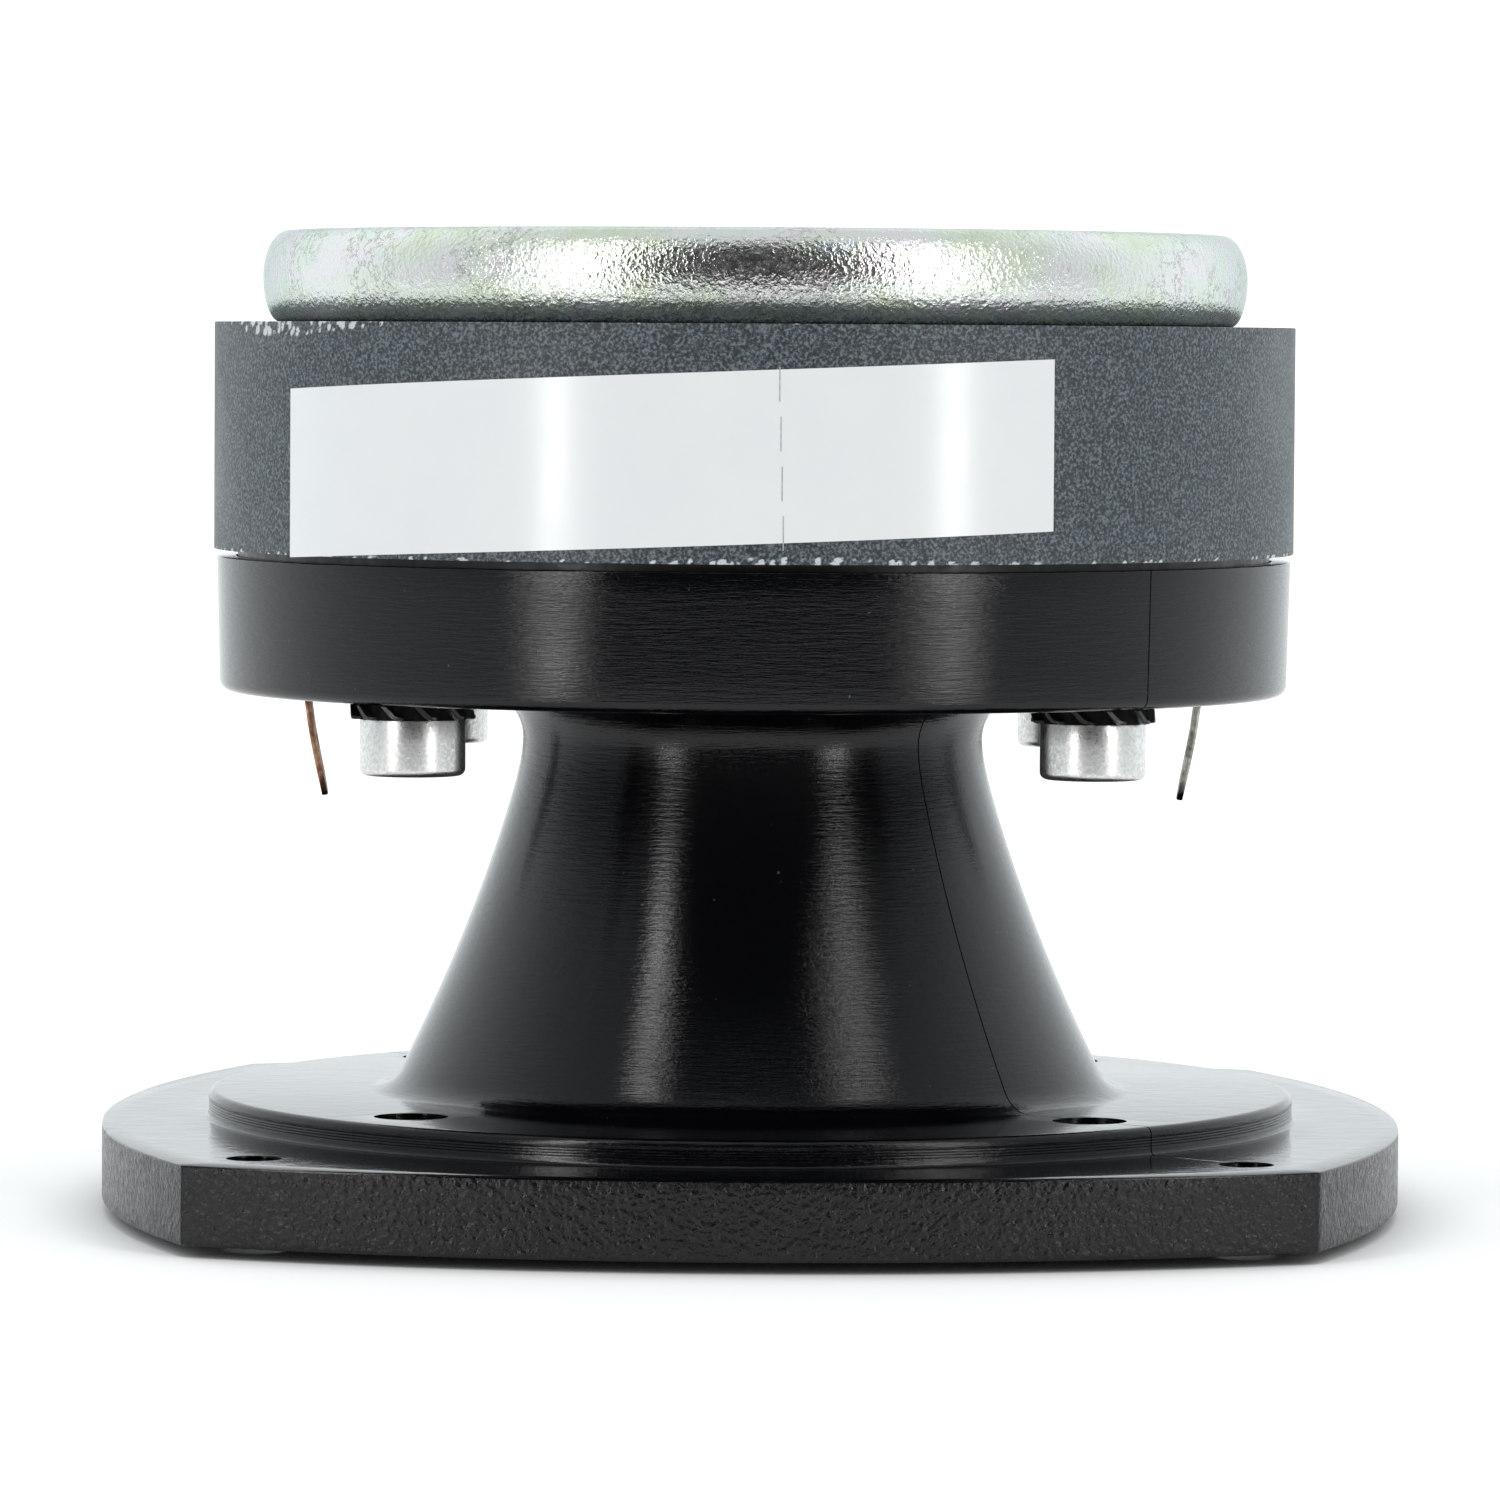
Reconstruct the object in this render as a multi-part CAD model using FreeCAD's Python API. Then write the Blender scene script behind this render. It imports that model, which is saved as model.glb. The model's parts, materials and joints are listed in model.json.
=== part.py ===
import FreeCAD, Part
import math
import os

# Compression driver standing mouth down. Millimetres, +Z up.
# The origin is the centre of the horn's mouth face, and the axis of the motor and horn is Z.

# Heights along the axis, from the mouth face up
MOUTH_RIM_HEIGHT = 0.9
FLANGE_THICKNESS = 6.4
BOSS_HEIGHT = 2.25
WAIST_LENGTH = 33.3
DISC_FLOOR = 5.25
GASKET_THICKNESS = 0.5
FRONT_PLATE_THICKNESS = 6.0
FRONT_PLATE_STANDOUT = 0.6
MAGNET_THICKNESS = 18.8
BACK_PLATE_THICKNESS = 7.6

# Mounting flange: a square with four bulged sides and sharp corners
FLANGE_LEDGE = 8.7
FLANGE_BULGE = 9.4
FLANGE_HOLE_EDGE = 5.4
FLANGE_HOLE_RADIUS = 2.2

# Boss, flare and neck of the horn body
BOSS_EDGE = 6.7
BOSS_ROUNDING = 0.6
BOSS_FOOT_FILLET = 0.4
FLARE_FOOT_RADIUS = 30.1
FLARE_FOOT_FILLET = 3.0
FLARE_SLOPE = 0.25
FLARE_ENTRY = 1.5
FLARE_STATIONS = 12
NECK_RADIUS = 19.2
NECK_FILLET = 3.92
NECK_STRAIGHT = 4.0
ACCESS_HOLE_RADIUS = 3.0

# Rear disc of the horn body
DISC_WALL = 1.55
DISC_DRAFT = 0.25
DISC_EDGE_ROUNDING = 0.9
PLATE_RECESS_CLEARANCE = 0.2

# Horn passage
MOUTH_RADIUS = 32.5
MOUTH_ROUNDING = 1.0
MOUTH_RIM_CLEARANCE = 0.3
THROAT_RADIUS = 12.0
PASSAGE_STATIONS = 9

# Motor
BACK_PLATE_INSET = 4.0
BACK_PLATE_TOP_SETBACK = 2.1
BACK_PLATE_FOOT_SETBACK = 1.45
BACK_PLATE_BELLY_HEIGHT = 3.8
MAGNET_RADIUS = 45.0
MAGNET_BORE_RADIUS = 22.5
FRONT_PLATE_INSET = 2.0
FRONT_PLATE_CHAMFER = 0.4
POLE_RADIUS = 12.15
POLE_CHAMFER = 0.4
AIR_GAP = 1.2

# Diaphragm, coil and what holds them
TRAVEL_EACH_WAY = 0.3
COIL_CLEARANCE = 0.3
FORMER_WALL = 0.15
FORMER_LENGTH = 6.35
COIL_LENGTH = 4.4
COIL_SETBACK = 1.55
FILM_THICKNESS = 0.25
DOME_EDGE_MARGIN = 0.55
DOME_RISE = 3.8
DOME_RIM_WIDTH = 1.7
SURROUND_ROLL_RADIUS = 1.5
SURROUND_LIP = 1.15
SURROUND_EDGE_GAP = 0.15
RING_RADIUS = 30.0
RING_THICKNESS = 1.0
RING_INNER_MARGIN = 0.3
RING_POCKET_CLEARANCE = 0.2
ROLL_RUNNING_CLEARANCE = 0.35
ROLL_RELIEF_MARGIN = 0.7
RING_NOTCH_WIDTH = 4.0
RING_NOTCH_DEPTH = 3.6
LEAD_WIDTH = 1.2
LEAD_THICKNESS = 0.12
LEAD_GROOVE_DEPTH = 0.4
LEAD_GROOVE_CLEARANCE = 0.3
LEAD_END_GAP = 0.02
LEAD_PAD_LENGTH = 1.0
PIN_RADIUS = 1.0
PIN_ANGLES = (90, 270)
PIN_LENGTH = 3.6
PIN_EDGE = 6.0
PAD_RADIUS = 9.0
PAD_THICKNESS = 1.0

# Phase plug
PLUG_RUNNING_CLEARANCE = 0.45
PLUG_RING_WALL = 2.0
PLUG_SEAT_CLEARANCE = 0.1
PLUG_RING_HEIGHT = 4.9
PLUG_RING_LIP = 0.2
PLUG_SHELL_GAP = 1.0
PLUG_SHELL_END_DROP = 3.5
PLUG_SHELL_END_RADIUS = 8.6
PLUG_SHELL_EDGE = 0.3
PLUG_SLOT_WIDTH = 1.1
PLUG_BULLET_RADIUS = 5.2
PLUG_BULLET_DROP = 10.5
PLUG_WEB_COUNT = 3
PLUG_WEB_THICKNESS = 1.2
PLUG_WEB_HEIGHT = 3.2
PLUG_WEB_INNER_RADIUS = 3.0
PLUG_SHELL_TAPER = 0.3
PLUG_SLOT_TAPER = 0.2
PLUG_LAND = 1.0
PLUG_BULLET_STATIONS = [(0.9, 0.3), (0.55, 0.7)]

# Screws and lock washers
SCREW_COUNT = 4
SCREW_EDGE = 4.4
SCREW_FIRST_ANGLE = 45.0
SCREW_RADIUS = 2.5
SCREW_LENGTH = 12.0
SCREW_END_CHAMFER = 0.5
SCREW_CLEARANCE = 0.25
TAPPED_CLEARANCE = 0.02
HEAD_RADIUS = 4.25
HEAD_HEIGHT = 5.0
HEAD_ROUNDING = 0.55
HEX_ACROSS_FLATS = 4.0
HEX_DEPTH = 2.6
WASHER_THICKNESS = 0.8
WASHER_BORE_CLEARANCE = 0.2
WASHER_RADIUS = 5.0
TOOTH_COUNT = 11
TOOTH_WIDTH = 1.9
TOOTH_THICKNESS = 0.42
TOOTH_TWIST = 30.0
TOOTH_ROOT = 0.3
TOOTH_GAP = 0.1
WASHER_RING_MARGIN = 0.05
WASHER_SPIN = 13.0

# Terminal tabs: the negative one at angle 0, the positive one opposite
TAB_ANGLES = (0, 180)
TAB_SCREW_OFFSET = 1.25
TAB_WIDTH = 2.8
TAB_THICKNESS = 0.5
TAB_DROP = 7.9
TAB_LEAN = 1.55
TAB_BOW = 0.35
TAB_POINT_LENGTH = 2.0
TAB_POINT_WIDTH = 0.8
TAB_HOLE_RADIUS = 0.65
TAB_HOLE_DROP = 4.4
TAB_FOOT_OVERLAP = 2.4
TAB_SLOT_CLEARANCE = 0.15

# Label wrapped on the magnet: angles from the front, positive to the right
LABEL_START_ANGLE = -56.0
LABEL_END_ANGLE = 31.6
LABEL_HEIGHT = 13.55
LABEL_RISE = 2.75
LABEL_OVERHANG = 0.15
LABEL_THICKNESS = 0.12
LABEL_STATIONS = 7

# How far a cutting block reaches past the piece it cuts
CUT_PAST = 1.0

# Heights that follow from the stack
Z_FLANGE_BOTTOM = MOUTH_RIM_HEIGHT
Z_FLANGE_TOP = Z_FLANGE_BOTTOM + FLANGE_THICKNESS
Z_BOSS_TOP = Z_FLANGE_TOP + BOSS_HEIGHT
Z_DISC_BOTTOM = Z_BOSS_TOP + WAIST_LENGTH
Z_RECESS = Z_DISC_BOTTOM + DISC_FLOOR
Z_PLATE_FACE = Z_RECESS + GASKET_THICKNESS
Z_MAGNET_BOTTOM = Z_PLATE_FACE + FRONT_PLATE_THICKNESS
Z_RIM = Z_MAGNET_BOTTOM - FRONT_PLATE_STANDOUT
Z_MAGNET_TOP = Z_MAGNET_BOTTOM + MAGNET_THICKNESS
Z_TOP = Z_MAGNET_TOP + BACK_PLATE_THICKNESS

# Diaphragm plane: the ring hangs on the front plate, the film under the ring
Z_RING = Z_PLATE_FACE - RING_THICKNESS
Z_FILM = Z_RING - FILM_THICKNESS
Z_DOME_RIM = Z_RING
Z_FORMER = Z_DOME_RIM + FILM_THICKNESS
Z_ROLL_FLOOR = Z_FILM - SURROUND_ROLL_RADIUS - TRAVEL_EACH_WAY - ROLL_RUNNING_CLEARANCE
Z_PLUG_SEAT = Z_ROLL_FLOOR - PLUG_RING_HEIGHT - PLUG_SEAT_CLEARANCE
Z_GROOVE = Z_PLATE_FACE - LEAD_GROOVE_DEPTH

# Radii of the motor and of the moulding round it, from the magnet outward and inward
BACK_PLATE_RADIUS = MAGNET_RADIUS - BACK_PLATE_INSET
BACK_PLATE_TOP_RADIUS = BACK_PLATE_RADIUS - BACK_PLATE_TOP_SETBACK
BACK_PLATE_FOOT_RADIUS = BACK_PLATE_RADIUS - BACK_PLATE_FOOT_SETBACK
FRONT_PLATE_RADIUS = MAGNET_RADIUS - FRONT_PLATE_INSET
RECESS_RADIUS = FRONT_PLATE_RADIUS + PLATE_RECESS_CLEARANCE
DISC_RADIUS = RECESS_RADIUS + DISC_WALL
SCREW_CIRCLE_RADIUS = FRONT_PLATE_RADIUS - SCREW_EDGE
BOSS_RADIUS = SCREW_CIRCLE_RADIUS + BOSS_EDGE
TAB_RADIUS = SCREW_CIRCLE_RADIUS - TAB_SCREW_OFFSET
FLANGE_HALF_WIDTH = BOSS_RADIUS + FLANGE_LEDGE
FLANGE_CORNER = FLANGE_HALF_WIDTH - FLANGE_BULGE
FLANGE_HOLE_REACH = FLANGE_CORNER - FLANGE_HOLE_EDGE
MOUTH_RIM_RADIUS = SCREW_CIRCLE_RADIUS - ACCESS_HOLE_RADIUS - MOUTH_RIM_CLEARANCE

# Radii that follow from the fits inside
POCKET_RADIUS = RING_RADIUS + RING_POCKET_CLEARANCE
PLATE_BORE_RADIUS = POLE_RADIUS + AIR_GAP
FORMER_INNER_RADIUS = POLE_RADIUS + COIL_CLEARANCE
FORMER_OUTER_RADIUS = FORMER_INNER_RADIUS + FORMER_WALL
COIL_OUTER_RADIUS = PLATE_BORE_RADIUS - COIL_CLEARANCE
SURROUND_INNER_RADIUS = FORMER_OUTER_RADIUS + SURROUND_EDGE_GAP
ROLL_CENTRE_RADIUS = SURROUND_INNER_RADIUS + SURROUND_LIP + SURROUND_ROLL_RADIUS
RING_INNER_RADIUS = ROLL_CENTRE_RADIUS + SURROUND_ROLL_RADIUS + RING_INNER_MARGIN
RELIEF_RADIUS = ROLL_CENTRE_RADIUS + SURROUND_ROLL_RADIUS + ROLL_RELIEF_MARGIN
RING_NOTCH_RADIUS = RING_RADIUS - RING_NOTCH_DEPTH
PIN_CIRCLE_RADIUS = RING_RADIUS - PIN_EDGE
TAB_FOOT_RADIUS = RING_RADIUS - TAB_FOOT_OVERLAP
PLUG_RING_RADIUS = THROAT_RADIUS + PLUG_RING_WALL
PLUG_SHELL_RADIUS = THROAT_RADIUS - PLUG_SHELL_GAP
PLUG_BORE_RADIUS = PLUG_RING_RADIUS + PLUG_SEAT_CLEARANCE
DOME_RADIUS = FORMER_INNER_RADIUS - DOME_EDGE_MARGIN

# Sphere of the dome's outer face, and its centre on the axis
DOME_SPHERE_RADIUS = (DOME_RADIUS ** 2 + DOME_RISE ** 2) / (2 * DOME_RISE)
Z_DOME_CENTRE = Z_DOME_RIM - DOME_RISE + DOME_SPHERE_RADIUS

AXIS = FreeCAD.Vector(0, 0, 1)
ORIGIN = FreeCAD.Vector(0, 0, 0)


def point(x, z, y=0.0):
    return FreeCAD.Vector(x, y, z)


def line(a, b):
    return Part.LineSegment(point(*a), point(*b)).toShape()


def arc(a, middle, b):
    return Part.Arc(point(*a), point(*middle), point(*b)).toShape()


def spline(stations):
    curve = Part.BSplineCurve()
    curve.interpolate([point(*s) for s in stations])
    return curve.toShape()


def polyline(corners):
    return [line(a, b) for a, b in zip(corners, corners[1:])]


def revolve(edges):
    face = Part.Face(Part.Wire(edges))
    return face.revolve(ORIGIN, AXIS, 360)


def tube(inner, outer, z_low, z_high):
    body = Part.makeCylinder(outer, z_high - z_low, point(0, z_low))
    if inner > 0:
        body = body.cut(Part.makeCylinder(inner, z_high - z_low, point(0, z_low)))
    return body


def box(x_low, x_high, y_half, z_low, z_high):
    corner = FreeCAD.Vector(x_low, -y_half, z_low)
    return Part.makeBox(x_high - x_low, 2 * y_half, z_high - z_low, corner)


def turned(shape, angle):
    copy = shape.copy()
    copy.rotate(ORIGIN, AXIS, angle)
    return copy


def circular_edges(shape, radius, z):
    found = []
    for edge in shape.Edges:
        curve = edge.Curve
        if not isinstance(curve, Part.Circle):
            continue
        if abs(curve.Radius - radius) < 1e-4 and abs(curve.Center.z - z) < 1e-4:
            found.append(edge)
    return found


def screw_angles():
    step = 360.0 / SCREW_COUNT
    return [SCREW_FIRST_ANGLE + i * step for i in range(SCREW_COUNT)]


def screw_holes(radius, z_low, z_high):
    hole = Part.makeCylinder(radius, z_high - z_low, point(SCREW_CIRCLE_RADIUS, z_low))
    return [turned(hole, angle) for angle in screw_angles()]


def sphere_height(sphere_radius, radius):
    return Z_DOME_CENTRE - math.sqrt(sphere_radius ** 2 - radius ** 2)


def sphere_arc(sphere_radius, inner, outer):
    middle = (inner + outer) / 2
    ends = [(r, sphere_height(sphere_radius, r)) for r in (inner, middle, outer)]
    return arc(*ends)


# Horn body


def flange_plate():
    # Four equal arcs meet at sharp corners.
    h, c = FLANGE_HALF_WIDTH, FLANGE_CORNER
    corners = [(c, -c), (c, c), (-c, c), (-c, -c)]
    bulges = [(h, 0), (0, h), (-h, 0), (0, -h)]
    edges = []
    for i in range(4):
        a, m, b = corners[i], bulges[i], corners[(i + 1) % 4]
        ends = [FreeCAD.Vector(x, y, Z_FLANGE_BOTTOM) for x, y in (a, m, b)]
        edges.append(Part.Arc(*ends).toShape())
    plate = Part.Face(Part.Wire(edges)).extrude(AXIS * FLANGE_THICKNESS)
    reach = FLANGE_HOLE_REACH
    for x in (-reach, reach):
        for y in (-reach, reach):
            corner = FreeCAD.Vector(x, y, Z_FLANGE_BOTTOM)
            plate = plate.cut(Part.makeCylinder(FLANGE_HOLE_RADIUS, FLANGE_THICKNESS, corner))
    return plate


def flare_cone(depth):
    # Straight taper that starts softly at the neck.
    return FLARE_SLOPE * (depth - FLARE_ENTRY * (1 - math.exp(-depth / FLARE_ENTRY)))


def flare_radius(depth, length):
    # Soft taper plus a parabola, from the neck down to the foot.
    bend = (FLARE_FOOT_RADIUS - NECK_RADIUS - flare_cone(length)) / length ** 2
    return NECK_RADIUS + flare_cone(depth) + bend * depth ** 2


def spool():
    # Mouth rim, boss, flare, neck and rear disc in one turned outline.
    neck_z = Z_DISC_BOTTOM - NECK_STRAIGHT
    length = neck_z - Z_BOSS_TOP
    stations = []
    for i in range(FLARE_STATIONS):
        depth = length * (1 - i / (FLARE_STATIONS - 1))
        stations.append((flare_radius(depth, length), neck_z - depth))
    foot = [
        (0, 0), (MOUTH_RIM_RADIUS, 0), (MOUTH_RIM_RADIUS, Z_FLANGE_BOTTOM), (BOSS_RADIUS, Z_FLANGE_BOTTOM),
        (BOSS_RADIUS, Z_BOSS_TOP), (FLARE_FOOT_RADIUS, Z_BOSS_TOP),
    ]
    disc_low = DISC_RADIUS - DISC_DRAFT
    head = [(NECK_RADIUS, neck_z), (NECK_RADIUS, Z_DISC_BOTTOM), (disc_low, Z_DISC_BOTTOM)]
    head += [(DISC_RADIUS, Z_RIM), (0, Z_RIM), (0, 0)]
    body = revolve(polyline(foot) + [spline(stations)] + polyline(head))
    rounds = [
        (BOSS_RADIUS, Z_BOSS_TOP, BOSS_ROUNDING),
        (FLARE_FOOT_RADIUS, Z_BOSS_TOP, FLARE_FOOT_FILLET),
        (NECK_RADIUS, Z_DISC_BOTTOM, NECK_FILLET),
        (disc_low, Z_DISC_BOTTOM, DISC_EDGE_ROUNDING),
    ]
    for radius, z, size in rounds:
        body = body.makeFillet(size, circular_edges(body, radius, z))
    return body


def passage():
    # Exponential from the plug seat down to the mouth, with a rounded lip.
    rate = math.log(MOUTH_RADIUS / THROAT_RADIUS) / Z_PLUG_SEAT
    stations = []
    for i in range(PASSAGE_STATIONS):
        z = Z_PLUG_SEAT * i / (PASSAGE_STATIONS - 1)
        stations.append((THROAT_RADIUS * math.exp(rate * (Z_PLUG_SEAT - z)), z))
    steps = [
        (THROAT_RADIUS, Z_PLUG_SEAT), (PLUG_BORE_RADIUS, Z_PLUG_SEAT), (PLUG_BORE_RADIUS, Z_ROLL_FLOOR),
        (RELIEF_RADIUS, Z_ROLL_FLOOR), (RELIEF_RADIUS, Z_FILM), (POCKET_RADIUS, Z_FILM),
        (POCKET_RADIUS, Z_RECESS), (RECESS_RADIUS, Z_RECESS), (RECESS_RADIUS, Z_RIM), (0, Z_RIM), (0, 0),
        (MOUTH_RADIUS, 0),
    ]
    return revolve([spline(stations)] + polyline(steps))


def tab_slots(angle):
    # Slot through the disc floor and a groove for the tab's foot.
    half = TAB_WIDTH / 2 + TAB_SLOT_CLEARANCE
    reach = TAB_THICKNESS / 2 + TAB_SLOT_CLEARANCE
    slot = box(TAB_RADIUS - reach, TAB_RADIUS + reach, half, Z_DISC_BOTTOM, Z_RECESS)
    groove = box(TAB_FOOT_RADIUS, TAB_RADIUS + reach, half, Z_RECESS - TAB_THICKNESS, Z_RECESS)
    return turned(slot.fuse(groove), angle)


def horn_body():
    body = flange_plate().fuse(spool()).removeSplitter()
    body = body.makeFillet(BOSS_FOOT_FILLET, circular_edges(body, BOSS_RADIUS, Z_FLANGE_TOP))
    body = body.cut(passage())
    body = body.makeFillet(MOUTH_ROUNDING, circular_edges(body, MOUTH_RADIUS, 0))
    for hole in screw_holes(ACCESS_HOLE_RADIUS, 0, Z_BOSS_TOP):
        body = body.cut(hole)
    for hole in screw_holes(SCREW_RADIUS + SCREW_CLEARANCE, Z_DISC_BOTTOM, Z_RECESS):
        body = body.cut(hole)
    for angle in TAB_ANGLES:
        body = body.cut(tab_slots(angle))
    return body


# Motor


def edge_curve(centre_radius, reach, belly, rise, start, end):
    # Quarter ellipse of the barrel edge: angle 0 is its highest point, 90 the widest, 180 the lowest.
    centre = point(centre_radius, belly)
    curve = Part.Ellipse(point(centre_radius, belly + rise), point(centre_radius + reach, belly), centre)
    return Part.Arc(curve, math.radians(start), math.radians(end)).toShape()


def back_plate():
    # Plate with a barrel edge, and the pole turned on its lower face.
    belly = Z_MAGNET_TOP + BACK_PLATE_BELLY_HEIGHT
    foot, top = BACK_PLATE_FOOT_RADIUS, BACK_PLATE_TOP_RADIUS
    low = edge_curve(foot, BACK_PLATE_RADIUS - foot, belly, belly - Z_MAGNET_TOP, 90, 180)
    high = edge_curve(top, BACK_PLATE_RADIUS - top, belly, Z_TOP - belly, 0, 90)
    corners = [
        (top, Z_TOP), (0, Z_TOP), (0, Z_PLATE_FACE), (POLE_RADIUS - POLE_CHAMFER, Z_PLATE_FACE),
        (POLE_RADIUS, Z_PLATE_FACE + POLE_CHAMFER), (POLE_RADIUS, Z_MAGNET_TOP), (foot, Z_MAGNET_TOP),
    ]
    return revolve([high] + polyline(corners) + [low])


def magnet_ring():
    return tube(MAGNET_BORE_RADIUS, MAGNET_RADIUS, Z_MAGNET_BOTTOM, Z_MAGNET_TOP)


def front_plate():
    plate = tube(PLATE_BORE_RADIUS, FRONT_PLATE_RADIUS, Z_PLATE_FACE, Z_MAGNET_BOTTOM)
    plate = plate.makeChamfer(FRONT_PLATE_CHAMFER, circular_edges(plate, FRONT_PLATE_RADIUS, Z_PLATE_FACE))
    for hole in screw_holes(SCREW_RADIUS + TAPPED_CLEARANCE, Z_PLATE_FACE, Z_MAGNET_BOTTOM):
        plate = plate.cut(hole)
    for angle in PIN_ANGLES:
        depth = PIN_LENGTH - RING_THICKNESS
        seat = Part.makeCylinder(PIN_RADIUS, depth, point(PIN_CIRCLE_RADIUS, Z_PLATE_FACE))
        plate = plate.cut(turned(seat, angle))
    return plate


def horn_gasket():
    ring = tube(POCKET_RADIUS, FRONT_PLATE_RADIUS, Z_RECESS, Z_PLATE_FACE)
    for hole in screw_holes(SCREW_RADIUS + SCREW_CLEARANCE, Z_RECESS, Z_PLATE_FACE):
        ring = ring.cut(hole)
    return ring


def damping_pad():
    return tube(0, PAD_RADIUS, Z_PLATE_FACE - PAD_THICKNESS, Z_PLATE_FACE)


# Diaphragm group


def dome():
    # Spherical cap that bulges towards the horn, with a flat rim for the coil and the film.
    inner_sphere = DOME_SPHERE_RADIUS - FILM_THICKNESS
    top = Z_DOME_RIM + FILM_THICKNESS
    inner_reach = math.sqrt(inner_sphere ** 2 - (Z_DOME_CENTRE - top) ** 2)
    rim = DOME_RADIUS + DOME_RIM_WIDTH
    outside = sphere_arc(DOME_SPHERE_RADIUS, 0, DOME_RADIUS)
    inside = sphere_arc(inner_sphere, 0, inner_reach)
    corners = [(DOME_RADIUS, Z_DOME_RIM), (rim, Z_DOME_RIM), (rim, top), (inner_reach, top)]
    apex = line((0, Z_DOME_CENTRE - DOME_SPHERE_RADIUS), (0, Z_DOME_CENTRE - inner_sphere))
    return revolve([outside] + polyline(corners) + [inside, apex])


def surround():
    # Flat film with one half roll that bulges towards the horn.
    z_low, z_high = Z_FILM, Z_FILM + FILM_THICKNESS
    z_mid = (z_low + z_high) / 2
    small = SURROUND_ROLL_RADIUS - FILM_THICKNESS / 2
    large = SURROUND_ROLL_RADIUS + FILM_THICKNESS / 2
    centre = ROLL_CENTRE_RADIUS
    band = tube(SURROUND_INNER_RADIUS, RING_RADIUS, z_low, z_high)
    band = band.cut(tube(centre - small, centre + small, z_low, z_high))
    roll = Part.makeTorus(centre, large, point(0, z_mid)).cut(Part.makeTorus(centre, small, point(0, z_mid)))
    roll = roll.common(tube(centre - large, centre + large, z_mid - large, z_mid))
    return band.fuse(roll).removeSplitter()


def voice_coil_former():
    return tube(FORMER_INNER_RADIUS, FORMER_OUTER_RADIUS, Z_FORMER, Z_FORMER + FORMER_LENGTH)


def voice_coil():
    start = Z_FORMER + COIL_SETBACK
    return tube(FORMER_OUTER_RADIUS, COIL_OUTER_RADIUS, start, start + COIL_LENGTH)


def diaphragm_ring():
    ring = tube(RING_INNER_RADIUS, RING_RADIUS, Z_RING, Z_PLATE_FACE)
    for angle in TAB_ANGLES:
        notch = box(RING_NOTCH_RADIUS, RING_RADIUS + CUT_PAST, RING_NOTCH_WIDTH / 2, Z_RING, Z_PLATE_FACE)
        groove = box(RING_INNER_RADIUS - CUT_PAST, RING_NOTCH_RADIUS + CUT_PAST,
                     (LEAD_WIDTH + LEAD_GROOVE_CLEARANCE) / 2, Z_GROOVE, Z_PLATE_FACE)
        ring = ring.cut(turned(notch.fuse(groove), angle))
    for angle in PIN_ANGLES:
        hole = Part.makeCylinder(PIN_RADIUS, RING_THICKNESS, point(PIN_CIRCLE_RADIUS, Z_RING))
        ring = ring.cut(turned(hole, angle))
    return ring


def locating_pin(angle):
    pin = Part.makeCylinder(PIN_RADIUS, PIN_LENGTH, point(PIN_CIRCLE_RADIUS, Z_RING))
    return turned(pin, angle)


def coil_lead(angle):
    # Flat ribbon from the former to a pad soldered on the tab's foot.
    end = TAB_FOOT_RADIUS + LEAD_PAD_LENGTH
    ribbon = box(FORMER_OUTER_RADIUS + LEAD_END_GAP, end, LEAD_WIDTH / 2, Z_GROOVE, Z_GROOVE + LEAD_THICKNESS)
    pad = box(TAB_FOOT_RADIUS, end, LEAD_WIDTH / 2, Z_RECESS, Z_GROOVE + LEAD_THICKNESS)
    return turned(ribbon.fuse(pad).removeSplitter(), angle)


# Phase plug


def plug_core():
    # Bullet in the middle and a tapered shell round it, both cut to the dome's sphere.
    sphere = DOME_SPHERE_RADIUS + TRAVEL_EACH_WAY + PLUG_RUNNING_CLEARANCE
    seat = Z_PLUG_SEAT
    tip = seat - PLUG_BULLET_DROP
    shoulder = sphere_height(sphere, PLUG_BULLET_RADIUS)
    tail = []
    for width, drop in PLUG_BULLET_STATIONS:
        tail.append((PLUG_BULLET_RADIUS * width, seat - PLUG_BULLET_DROP * drop))
    bullet_side = spline([(PLUG_BULLET_RADIUS, seat)] + tail + [(0, tip)])
    bullet = revolve([
        sphere_arc(sphere, 0, PLUG_BULLET_RADIUS),
        line((PLUG_BULLET_RADIUS, shoulder), (PLUG_BULLET_RADIUS, seat)),
        bullet_side,
        line((0, tip), (0, sphere_height(sphere, 0))),
    ])
    inner = PLUG_BULLET_RADIUS + PLUG_SLOT_WIDTH
    outer = PLUG_SHELL_RADIUS
    end_z = seat - PLUG_SHELL_END_DROP
    end_in = PLUG_SHELL_END_RADIUS - PLUG_SHELL_EDGE
    land = seat + PLUG_LAND
    corners = [
        (outer, sphere_height(sphere, outer)),
        (outer - PLUG_SHELL_TAPER, land),
        (PLUG_SHELL_END_RADIUS, end_z),
        (end_in, end_z),
        (inner + PLUG_SLOT_TAPER, land),
        (inner, sphere_height(sphere, inner)),
    ]
    shell = revolve([sphere_arc(sphere, inner, outer)] + polyline(corners))
    return bullet, shell


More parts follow.
